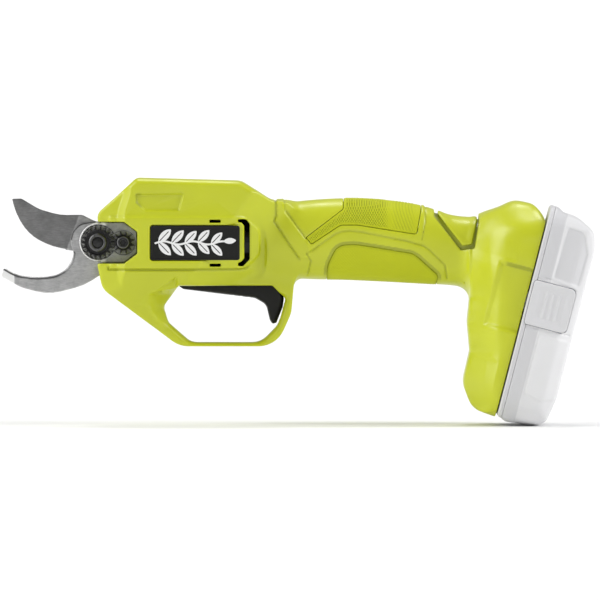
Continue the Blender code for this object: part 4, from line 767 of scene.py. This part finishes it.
def make_grips():
    """The soft pads: a net of small lozenges on the upper ones, a fine stipple on the lower."""
    for kind, outline, low, high, deep, tone, corner in (
            ("upper", UPPER_GRIP, 28, 54, 0.26, 0.75, 0.5),
            ("lower", LOWER_GRIP, 6, 31, 0.05, 0.12, 0.12)):
        for word, side in SIDES:
            def field(x, y, z):
                skin = grip_field(x, y, z) + (pad_sink(y) if kind == "lower" else 0)
                edge = outside(outline, x, z)
                relief = deep * step(-0.6, -1.6, edge) * pad_texture(kind, x, y, z)
                body = meet(skin - relief - 0.1, edge + 0.02, corner)
                return meet(common(body, -(skin + GRIP_THICK)), PARTING - side * y, 0.2)

            def ground(x, y, z):
                # painted shade: the pattern's hollows are darker, and on the lower pad a band along
                # its rim
                edge = outside(outline, x, z)
                hollow_shade = np.clip(-pad_texture(kind, x, y, z), 0, 1) * step(-0.5, -1.5, edge)
                rim = 0.5 * step(-1.8, 0, edge) if kind == "lower" else 0
                return np.maximum(tone * hollow_shade, rim)

            moulded(f"grip_{kind}_{word}_pad", f"grip_{kind}_{word}", "tool", "grip_green",
                    (3, -0.5, low), (73, 19, high), 0.28, field, ground, side=side)


def pad_texture(kind, x, y, z):
    """The pattern of a pad's skin, -1 to 1, from the distance round the grip and along it."""
    round_grip = z + 0.55 * np.abs(y)
    turns = 2 * pi / (1.5 if kind == "lower" else 1.25)
    net = 0.5 * (np.cos((x + round_grip * 0.8) * turns) + np.cos((x - round_grip * 0.8) * turns))
    if kind == "lower":
        return net
    # the net fades out towards the rear, where slanting lines take its place
    lines = np.cos((x + 0.45 * round_grip) * (2 * pi / 1.5))
    tail = step(46, 50, x) * step(61, 57, x)
    return step(49, 42, x) * np.clip(net * 1.6, -1, 1) + 0.5 * tail * lines


def make_button():
    def field(x, y, z):
        skin, edge = grip_field(x, y, z), outside(BUTTON_OUTLINE, x, z)
        body = meet(skin + 0.35 * step(-1.2, -4, edge), edge, 0.7)
        skirt = common(outside(BUTTON_POCKET, x, z) - 0.4, skin + SKIRT_DEPTH)
        body = meet(join(body, skirt, 0.3), -(skin + BUTTON_THICK), 0.3)
        stem = common(slab(x, 78.8, 82), np.abs(y) - 2, slab(z, 36.4, 43))
        return join(body, stem, 0.5)

    # the skirt, down in its pocket, is painted darker as shade
    moulded("power_button_saddle", "power_button", "power_button", "housing_green",
            (69, -21, 25.5), (92.4, 21, 49), 0.35, field,
            lambda x, y, z: 0.9 * step(0, 0.3, outside(BUTTON_OUTLINE, x, z)))


# ---------------------------------------------------------------- trigger
TRIGGER_HALF = 6.2
TRIGGER_OUTLINE = rounded([
    (-65.1, 11.2, 2.7), (-62.3, 14, 2.7), (-55, 11, 2), (-15.5, 9.6), (-13.2, 9.6),
    (-13.2, 12, 0.3), (-9.2, 12, 0.3), (-9.2, 7), (-7, 1.6, 1), (-7.6, -3, 4),
    (-10.9, -11.2, 0.8), (-13.2, -11.9, 1.2), (-14.6, -9.5, 2), (-16.4, -1.8, 5),
    (-22, 1.4, 5), (-58.5, 5.9, 1), (-61.5, 8.1, 1), (-64.6, 8.6, 1.6)])


def make_trigger():
    def field(x, y, z):
        edge = outside(TRIGGER_OUTLINE, x, z)
        # the pull face is rounded across, and a facet takes down each side below the slot
        low = step(6, -4, z)
        body = meet(edge, np.abs(y) - (TRIGGER_HALF - 0.9 * low), 1.4 + 2 * low)
        crown = edge + (np.abs(y) / TRIGGER_HALF) ** 2 * 1.1 * step(7.5, 4, z)
        body = meet(body, crown, 0.6)
        # three shallow grooves across the pull face
        for at in (-33, -29, -25):
            groove = np.hypot(x - at, z - (5.9 - 0.1233 * (at + 58.5)) + 0.5)
            body = carve(body, groove - 0.75, 0.4)
        return carve(body, off_axis(x, z, TRIGGER_PIVOT) - TRIGGER_PIN_R, 0.2)

    moulded("trigger_lever", "trigger", "trigger", "black_plastic", (-66.5, -7, -13),
            (-6, 7, 15), 0.33, field)


# ---------------------------------------------------------------- blades
BORE_R, LOCK_BORE_R = 3.3, 1.95
HOOK_OUTLINE = rounded([
    (-79, 21.5, 1), (-79, 38.5, 1), (-90, 40.4, 4), (-104.4, 40.7, 8), (-111, 39.4, 6),
    (-114.8, 35.6, 6), (-116.2, 29.5, 8), (-114.2, 25.2, 5), (-115.2, 20.8, 8),
    (-118.4, 16.1, 8), (-122.8, 13.4, 10), (-130, 12.3, 24), (-138.7, 12.6, 24),
    (-144.6, 14, 14), (-149.8, 17.2, 0.7), (-151.2, 12.6, 1.2), (-141, 7, 16),
    (-127, 3.4, 26), (-109, 8, 30), (-96, 16.5, 6)])
HOOK_FRONT, HOOK_BACK = -8, -4.5
BLADE_OUTLINE = rounded([
    (-146.3, 52.2, 0.2), (-141, 52.3, 2), (-132, 46.9, 16), (-121.5, 43.9, 24), (-110, 44, 2),
    (-104, 41, 6), (-94.5, 39, 6), (-91, 30, 8), (-95, 20.8, 8), (-104, 19, 8),
    (-110.5, 25, 6), (-122.8, 26.6, 20), (-130.4, 29.5, 20), (-135.2, 32.3, 20),
    (-139.6, 36.6, 20), (-143.2, 42.4, 20), (-145.4, 48.2, 20)])
BLADE_FRONT, BLADE_BACK = -4.2, -1.2
RIVETS = [(PIVOT[0] + 7.2 * cos(radians(a)), PIVOT[1] + 7.2 * sin(radians(a)))
          for a in (-57.5, 12.5)]


def between(outline, start, stop):
    """The stretch of an outline between the points nearest start and stop."""
    first, last = (min(range(len(outline)), key=lambda i: dist(outline[i], place))
                   for place in (start, stop))
    return outline[first:last + 1] if first <= last else outline[first:] + outline[:last + 1]


def heel(x, z):
    """Distance behind the slanting line where the blade's ground face ends."""
    return (x + 113.2) * 0.94 - (z - 40) * 0.34


def bored(body, x, z, holes, corner):
    """A shape with holes along Y, as (centre, radius)."""
    for centre, radius in holes:
        body = carve(body, off_axis(x, z, centre) - radius, corner)
    return body


def make_blades():
    bite = between(HOOK_OUTLINE, (-114.4, 24), (-149.4, 16.8))
    crown = between(HOOK_OUTLINE, (-104.4, 40.7), (-116, 31.5))
    cutting = between(BLADE_OUTLINE, (-113, 25.2), (-146.2, 52))

    def hook(x, y, z):
        body = meet(outside(HOOK_OUTLINE, x, z), slab(y, HOOK_FRONT, HOOK_BACK), 0.35)
        # the concave edge is chamfered on the front, and the tip ground a little thinner
        bevel = HOOK_FRONT + 1.1 * np.maximum(1.15 - off_line(bite, x, z), 0)
        body = meet(body, bevel - y, 0.15)
        body = meet(body, HOOK_FRONT + 0.25 * step(-144.3, -144.8, x) - y, 0.1)
        body = bored(body, x, z, ((PIVOT, BORE_R), (LOCK_POINT, LOCK_BORE_R)), 0.2)
        # countersunk holes for the tang screws
        for place in ((-82, PIVOT[1] - 6.5), (-82, PIVOT[1] + 6.5)):
            gap = off_axis(x, z, place)
            body = carve(body, gap - 1.7, 0.2)
            body = carve(body, common(gap - 3.1, y - HOOK_FRONT - 2), 0.2)
        return body

    def blade(x, y, z):
        body = meet(outside(BLADE_OUTLINE, x, z), slab(y, BLADE_FRONT, BLADE_BACK), 0.3)
        back = BLADE_FRONT + 0.25 + 0.62 * off_line(cutting, x, z)
        body = meet(body, y - back, 0.15)
        # the flat face is relieved beyond a slanting line at the heel
        body = meet(body, BLADE_FRONT + 0.3 * step(0.3, -0.3, heel(x, z)) - y, 0.1)
        return bored(body, x, z, ((PIVOT, BORE_R), *((p, 1.35) for p in RIVETS)), 0.2)

    # the bite's chamfer is darker, and a dark line round the crown is painted shadow where the
    # blade lies behind
    moulded("hook_blade_ground", "hook_blade", "tool", "hook_steel", (-152.5, -8.6, 2),
            (-77.5, -3.9, 45), 0.3, hook, lambda x, y, z: np.maximum(
                step(1.35, 1, off_line(bite, x, z)), step(0.8, 0.5, off_line(crown, x, z)))
            * step(-7, -7.4, y))
    moulded("cutting_blade_ground", "cutting_blade", "moving_blade", "blade_steel",
            (-147.5, -4.8, 17.5), (-89.5, -0.6, 54), 0.3, blade,
            lambda x, y, z: step(0.4, 0, heel(x, z)))


# ---------------------------------------------------------------- tension gears and bolt
GEAR_FRONT, GEAR_BACK = -13.8, -11.1
PLATE_FRONT, PLATE_BACK = -10.8, -8.3
PLATE_END = (-101.6, 30.2)  # the middle of the plate's round end
MODULE = 2 * (LOCK_POINT[0] - PIVOT[0]) / 30


def gear_outline(teeth, centre, turn, thin=0.16, addendum=0.8, dedendum=1.1):
    """A gear's outline, its flanks flat from root to tip of an involute tooth."""
    pitch_r = teeth * MODULE / 2
    base_r = pitch_r * cos(radians(20))

    def involute(r):
        a = acos(min(1, base_r / r))
        return tan(a) - a

    def half_at(r):
        """Half the angle of a tooth at a radius."""
        return (pi / (2 * teeth) - thin / (2 * pitch_r) + involute(pitch_r)
                - involute(max(r, base_r)))

    flank = [(r, half_at(r)) for r in (pitch_r - dedendum * MODULE, pitch_r + addendum * MODULE)]
    tooth = [(r, -half) for r, half in flank] + flank[::-1]
    return [(centre[0] + r * cos(at + half), centre[1] + r * sin(at + half))
            for at in (turn + 2 * pi * k / teeth for k in range(teeth)) for r, half in tooth]


def turned(name, profile, centre):
    """A closed (radius, y) profile turned about an axis along Y."""
    mesh, shape = bpy.data.meshes.new(name), bmesh.new()
    points = [shape.verts.new((r * MM, 0, h * MM)) for r, h in profile]
    edges = [shape.edges.new(pair) for pair in zip(points, points[1:], strict=False)]
    bmesh.ops.spin(shape, geom=points + edges, cent=(0, 0, 0), axis=(0, 0, 1),
                   angle=2 * pi, steps=72, use_merge=True)
    bmesh.ops.remove_doubles(shape, verts=shape.verts, dist=1e-7)
    place = Matrix.Translation((centre[0] * MM, 0, centre[1] * MM)) @ Matrix.Rotation(
        -pi / 2, 4, "X")
    bmesh.ops.transform(shape, matrix=place, verts=shape.verts)
    bmesh.ops.recalc_face_normals(shape, faces=shape.faces)
    shape.to_mesh(mesh)
    shape.free()
    return linked(name, mesh)


def make_adjuster():
    def plate(x, y, z):
        end = off_axis(x, z, PLATE_END)
        outline = join(end - 9.8, common(outside(WINDOW, x, z), PIVOT[0] + 2 - x), 1)
        body = meet(outline, slab(y, PLATE_FRONT, PLATE_BACK), 0.5)
        # a round pan is sunk behind the gears, which leaves a rim at the plate's end
        pan = np.minimum(end - 8.9, off_axis(x, z, LOCK_POINT) - 6.3)
        body = carve(body, common(pan, y - PLATE_FRONT - 0.7), 0.2)
        # a ring of pockets shows between the teeth of the large gear
        turn = np.arctan2(z - PLATE_END[1], x - PLATE_END[0])
        pockets = common(slab(end, 7, 8.6), (0.1 - np.cos(22 * turn)) * 0.4)
        body = carve(body, common(pockets, y - PLATE_FRONT - 1.7), 0.15)
        return bored(body, x, z, ((PIVOT, BORE_R), (LOCK_POINT, LOCK_BORE_R)), 0.15)

    def rim(x, y, z):
        """A painted highlight on the left of the rim round the plate's end."""
        bright = step(8.95, 9.15, off_axis(x, z, PLATE_END)) * step(-97, -99, x)
        return bright * step(PLATE_FRONT + 0.5, PLATE_FRONT + 0.3, y)

    def nut(x, y, z):
        flat = hexagon(x, z, PIVOT, 5.6 * cos(pi / 6))
        cone = off_axis(x, z, PIVOT) - 5.5 + np.maximum(y - 16.6, 0) * 1.6
        body = meet(meet(flat, cone, 0.2), slab(y, 14.3, 17.3), 0.2)
        return bored(body, x, z, ((PIVOT, BORE_R),), 0.25)

    def lock(x, y, z):
        gap = off_axis(x, z, LOCK_POINT)
        shank = common(gap - 1.65, slab(y, -15, HOOK_BACK))
        head = meet(gap - 3.3, slab(y, -15.8, GEAR_FRONT - 0.3), 0.6)
        socket = common(hexagon(x, z, LOCK_POINT, 1.45), y + 14.6)
        return carve(np.minimum(shank, head), socket, 0.15)

    moulded("head_plate_cast", "head_plate", "tool", "dark_metal", (-113.5, -11.4, 19),
            (-81, -7.8, 41), 0.24, plate, rim)
    for node, body, centre, teeth, turn, hub, hole, reach in (
            ("adjuster_gear", "adjuster", PIVOT, 18, 0, 4.5, BORE_R, 9),
            ("lock_gear", "lock_wheel", LOCK_POINT, 12, pi / 12, 3.2, 2, 6.4)):
        def gear(x, y, z):
            gap = off_axis(x, z, centre)
            outline = gear_outline(teeth, centre, turn)
            body = meet(outside(outline, x, z), slab(y, GEAR_FRONT, GEAR_BACK), 0.3)
            # the web is sunk between the hub and the rim
            web = slab(gap, hub, teeth * MODULE / 2 - 1.75)
            body = carve(body, common(web, y - GEAR_FRONT - 0.7), 0.25)
            return carve(body, gap - hole, 0.2)

        moulded(f"{node}_cut", node, body, "dark_metal",
                (centre[0] - reach, GEAR_FRONT - 0.2, centre[1] - reach),
                (centre[0] + reach, GEAR_BACK + 0.2, centre[1] + reach), 0.17, gear,
                look="gear_black")
    moulded("lock_screw_hex", "lock_screw", "tool", "dark_metal", (-92.6, -16.1, 26.4),
            (-85.4, -4.2, 33.6), 0.17, lock, lambda x, y, z: step(
                2.4, 2.6, off_axis(x, z, LOCK_POINT)) * step(-15, -15.2, y), look="gear_black")
    moulded("pivot_nut_hex", "pivot_nut", "tool", "gear_steel", (-108.2, 14, 23.8),
            (-95.8, 17.6, 36.2), 0.22, nut)
    bolt = turned("pivot_bolt_capped", [
        (0, 17.4), (2.6, 17.4), (3, 17), (3, -14.1), (4.3, -14.1), (4.6, -14.4), (4.6, -15.5),
        (4.45, -15.8), (4.05, -16.15), (3.8, -16.2), (3.2, -16.2), (3.05, -16.1), (2.95, -15.8),
        (2.9, -15.5), (2.75, -15.45), (2.2, -15.75), (1.2, -15.98), (0, -16.05)], PIVOT)
    finished(bolt, "pivot_bolt", "tool", "dark_metal", "gear_black", lambda x, y, z: step(
        3.7, 3.85, off_axis(x, z, PIVOT)) * step(-15.6, -15.75, y), sharp=30)


# ---------------------------------------------------------------- badges
def leaf_distance(x, z, base, angle, size):
    """A pointed leaf from its base, its two sides arcs of a circle."""
    c, s = cos(angle), sin(angle)
    a = (x - base[0]) * c + (z - base[1]) * s - size / 2
    b = np.abs(-(x - base[0]) * s + (z - base[1]) * c)
    arc = size * 0.66
    return np.hypot(a, b + sqrt(arc * arc - (size / 2) ** 2)) - arc


def sprig_distance(x, z):
    """A vine shoot laid along the badge: a waved stem with a pair of leaves at each turn."""
    def wave(at):
        return (at, 30 + 0.8 * sin((at + 72) * 0.42))

    waves = [wave(at) for at in np.linspace(-72.5, -38, 36)]
    shape = off_line(waves, x, z) - 0.5
    for k in range(5):
        base, size = wave(-71 + 6.7 * k), 9.2 - 0.25 * k
        for turn in (radians(46), radians(-46)):
            far = (base[0] + size * 0.8 * cos(turn), base[1] + size * 0.8 * sin(turn))
            vein = off_line([base, far], x, z) - 0.2
            shape = np.minimum(shape, common(leaf_distance(x, z, base, turn, size), -vein))
    return np.minimum(shape, leaf_distance(x, z, waves[-1], radians(4), 6.6))


def make_badges():
    for word, side in SIDES:
        def plate(x, y, z):
            across, edge = np.abs(y), outside(BADGE, x, z)
            body = meet(edge, slab(across, HEAD_HALF - 1, HEAD_HALF + 0.4), 0.45)
            return carve(body, common(edge + 0.9, HEAD_HALF + 0.22 - across), 0.15)

        def sprig(x, y, z):
            # mirrored on the far side, so that the shoot grows towards the grip on both
            return meet(sprig_distance(x, z), slab(side * y, HEAD_HALF - 0.1, HEAD_HALF + 0.36),
                        0.08)

        moulded(f"badge_{word}_plate", f"badge_{word}", "tool", "badge_black",
                (-75.6, 25.6, 20.6), (-29, 27.7, 39.4), 0.25, plate, side=side)
        moulded(f"badge_{word}_print", None, "tool", "badge_black", (-73.8, 26.7, 21.9),
                (-29.9, 27.5, 38.1), 0.17, sprig, look="print_white", side=side)


# ---------------------------------------------------------------- battery pack
PACK_HALF = 39
PACK_SIDE = rounded([  # (u, v) in the dock frame
    (0.4, 69.8, 4), (4.8, 69.6, 3), (8, 67.4, 2), (15.5, 67, 12), (25.5, 62, 8), (28.4, 52, 4),
    (28.4, -24, 4), (25.8, -38, 5), (21.5, -40.8, 4), (6, -43, 4), (0.4, -40.6, 2)])
PACK_FACE = rounded(mirrored([(PACK_HALF, 70, 15), (PACK_HALF, -43.6, 15)]))
PACK_PLAN = rounded(mirrored([(PACK_HALF, 0), (PACK_HALF, 20, 6), (34, 28.6, 3)]))
PACK_SPLIT = 3.2  # where the lid ends and the case begins
PACK_WALL = 2
LATCH = rounded([(2, 8, 1.5), (24, 8, 3), (24, 31, 3), (2, 31, 1.5)])
LABEL_PANEL = rounded([(10.8, 34.4, 1), (24.4, 33.2, 1), (24.8, 50, 3), (20.5, 60.5, 4),
                       (11.6, 61, 2)])
LOWER_PANEL = rounded([(11.4, 4.2, 1), (26.6, 4.6, 1), (27.2, -26, 2), (19.6, -28.4, 1),
                       (11.5, -26.2, 1)])
PACK_LINES = [[(0, 32.3), (8.7, 33), (24, 30.6)], [(0, 6.6), (10.1, 6.9), (26, 7.6)]]
STEM_HALF, STEM_LENGTH = 12, 32


def pack_field(u, y, v):
    body = meet(outside(PACK_SIDE, u, v), outside(PACK_FACE, y, v), 1.6)
    return meet(body, outside(PACK_PLAN, y, u), 1.6)


def pack_relief(u, v):
    """The flange by the dock, the raised lower panel and the sunk label panel of a side."""
    relief = 0.6 * step(0.5, -0.5, outside(LOWER_PANEL, u, v)) - 0.5 * step(9.6, 10.4, u)
    relief = relief - 0.6 * step(0.4, -0.4, outside(LABEL_PANEL, u, v))
    return relief - 0.5 * sum(step(0.5, 0.1, off_line(line, u, v)) for line in PACK_LINES)


def flange(x, y, z):
    """Where the pack is moulded in the darker grey: its flange and its label panels."""
    u, v = dock_place(x, z)
    return np.maximum(step(10.2, 9.8, u), 0.7 * step(0.2, -0.2, outside(LABEL_PANEL, u, v)))


def latch_room(u, v, across):
    return common(outside(LATCH, u, v) - 0.12, 25 - across)


def make_pack():
    def case(u, y, v):
        across = np.abs(y)
        whole = pack_field(u, y, v)
        skin = whole - pack_relief(u, v) * step(20, 30, across)
        # cooling ribs across the outer face
        for at in range(-14, 48, 6):
            rib = common(np.abs(v - at) - 0.9, across - 24)
            skin = np.where(u > 20, skin + 0.6 * step(0.4, -0.4, rib), skin)
        body = carve(skin, whole + PACK_WALL, 0.4)
        return carve(meet(body, PACK_SPLIT - u, 0.1), latch_room(u, v, across), 0.15)

    def lid(u, y, v):
        across, off_stem = np.abs(y), np.abs(v - STEM_V)
        body = meet(pack_field(u, y, v), slab(u, 0.1, PACK_SPLIT - 0.05), 0.1)
        stem = common(np.maximum(across, off_stem) - STEM_HALF, slab(u, -STEM_LENGTH, 1.5))
        stem = meet(stem, (across + off_stem) * 0.7071 - 15.4, 1)
        hollow = common(np.maximum(across, off_stem) - (STEM_HALF - 2), 8 - STEM_LENGTH - u)
        body = carve(join(body, stem, 0.6), hollow, 0.4)
        # slits for the contacts in the stem's end
        for at in (-6, 0, 6):
            slit = common(np.abs(y - at) - 1, off_stem - 4.2, u + STEM_LENGTH - 7)
            body = carve(body, slit, 0.3)
        body = carve(body, latch_room(u, v, across), 0.15)
        way = common(slab(across, 25, 33.6), slab(v, 14, 25), slab(u, -2, 6))
        return carve(body, way, 0.3)

    moulded("battery_case_shell", "battery_case", "battery", "pack_pale", (2.6, -40, -44.5),
            (29.4, 40, 71), 0.62, case, flange, keep=0.5, place=DOCK_FRAME)
    moulded("battery_lid_shell", "battery_lid", "battery", "pack_pale", (-33, -40, -44.5),
            (3.6, 40, 71), 0.55, lid, flange, keep=0.5, place=DOCK_FRAME)
    for word, side in SIDES:
        def latch(u, y, v):
            across, edge, outer = side * y, outside(LATCH, u, v), PACK_HALF + 0.3
            pad = meet(edge, slab(across, PACK_HALF - 2.4, outer), 0.6)
            # a finger hollow, and three grip ridges in it
            dish = 0.7 * step(-1.6, -5.5, edge)
            ridges = 0.45 * np.maximum(np.cos((u - 13) * (2 * pi / 3.2)), 0) * step(
                -4, -5.5, edge) * step(6.4, 5.6, np.abs(u - 13))
            pad = meet(pad, across - (outer - dish + ridges), 0.3)
            # the arm that reaches into the dock, the bridge that carries it and its tooth
            arm, bridge, tooth = (
                common(slab(across, near, far), slab(u, low, high), slab(v, 15, 24))
                for near, far, low, high in ((29.6, 31.6, -5, 5.5), (30, PACK_HALF - 1.4, 3.5, 5.5),
                                             (29.6, 33, -5, -3.2)))
            return join(pad, np.minimum(np.minimum(arm, bridge), tooth), 0.3)

        moulded(f"latch_{word}_panel", f"latch_{word}", f"latch_{word}", "pack_pale",
                (-5.8, 28.8, 7), (25, 40, 32), 0.35, latch, lambda x, y, z: 0.6 + 0 * x,
                side=side, place=DOCK_FRAME)


# ---------------------------------------------------------------- floor, light and camera
PIXEL = 0.51  # millimetres at the tool's middle plane
VIEW_DISTANCE = 8
VIEW_RISE = radians(1)
FLOOR = -0.0632
FLOOR_R, RIM_R = 12, 1.4


def make_floor():
    """A pale round floor whose rim sweeps up into a low wall, far outside every camera."""
    profile = [(0, 0), (1, 0), (FLOOR_R, 0)]
    profile += [(FLOOR_R + RIM_R * sin(a), RIM_R * (1 - cos(a)))
                for a in np.linspace(0, pi / 2, 13)[1:]]
    turns = 96
    points = [(r * cos(a), r * sin(a), FLOOR + h) for r, h in profile
              for a in np.linspace(0, 2 * pi, turns, endpoint=False)]
    faces = [(row * turns + k, row * turns + (k + 1) % turns,
              (row + 1) * turns + (k + 1) % turns, (row + 1) * turns + k)
             for row in range(len(profile) - 1) for k in range(turns)]
    mesh = bpy.data.meshes.new("floor")
    mesh.from_pydata(points, [], faces)
    mesh.flip_normals()
    mesh.shade_smooth()
    look = Look("floor", (0.93, 0.93, 0.93), 0.8, specular=0.1)
    look.feed(look.shader, {"Roughness": look.ranged(look.noise(6), 0.3, 0.7, 0.75, 0.85)})
    mesh.materials.append(look.material)
    linked("floor", mesh)


def make_stage():
    scene = bpy.context.scene
    camera = bpy.data.cameras.new("camera")
    camera.lens = 400
    camera.sensor_width = 600 * PIXEL * MM / VIEW_DISTANCE * camera.lens
    view = linked("camera", camera)
    aim = Vector((0.001, 0, 0.0005))
    view.location = aim + VIEW_DISTANCE * Vector((0, -cos(VIEW_RISE), sin(VIEW_RISE)))
    view.rotation_euler = (pi / 2 - VIEW_RISE, 0, 0)
    scene.camera = view
    make_floor()
    scene.world = bpy.data.worlds.new("world")
    scene.world.use_nodes = True
    background = scene.world.node_tree.nodes["Background"]
    background.inputs["Color"].default_value = (1, 1, 1, 1)
    background.inputs["Strength"].default_value = 0.40
    # each sun's vector points to it, and its light on a face is the product with the face's normal
    for name, sun, wide in (("key", (-0.38, -0.09, 0.28), 35), ("rear", (0.47, -0.11, 0.26), 35),
                            ("top", (0, 0.08, 0.21), 18), ("left", (-0.16, -0.04, 0.03), 25)):
        light = bpy.data.lights.new(name, "SUN")
        light.energy = pi * Vector(sun).length
        light.angle = radians(wide)
        linked(name, light).rotation_euler = (-Vector(sun)).to_track_quat("-Z", "Y").to_euler()
    scene.view_settings.view_transform = "Standard"


def dress_frame():
    """Gives each CAD node its slot's material."""
    slots = {s["node"]: s["material_slot"] for s in frame["record"]["subparts"]}
    for name, obj in frame["nodes"].items():
        for slot in obj.material_slots:
            slot.material = LOOKS[slots[name]]


make_stage()
LOOKS = make_looks()
dress_frame()
make_housing()
make_grips()
make_button()
make_trigger()
make_blades()
make_adjuster()
make_badges()
make_pack()
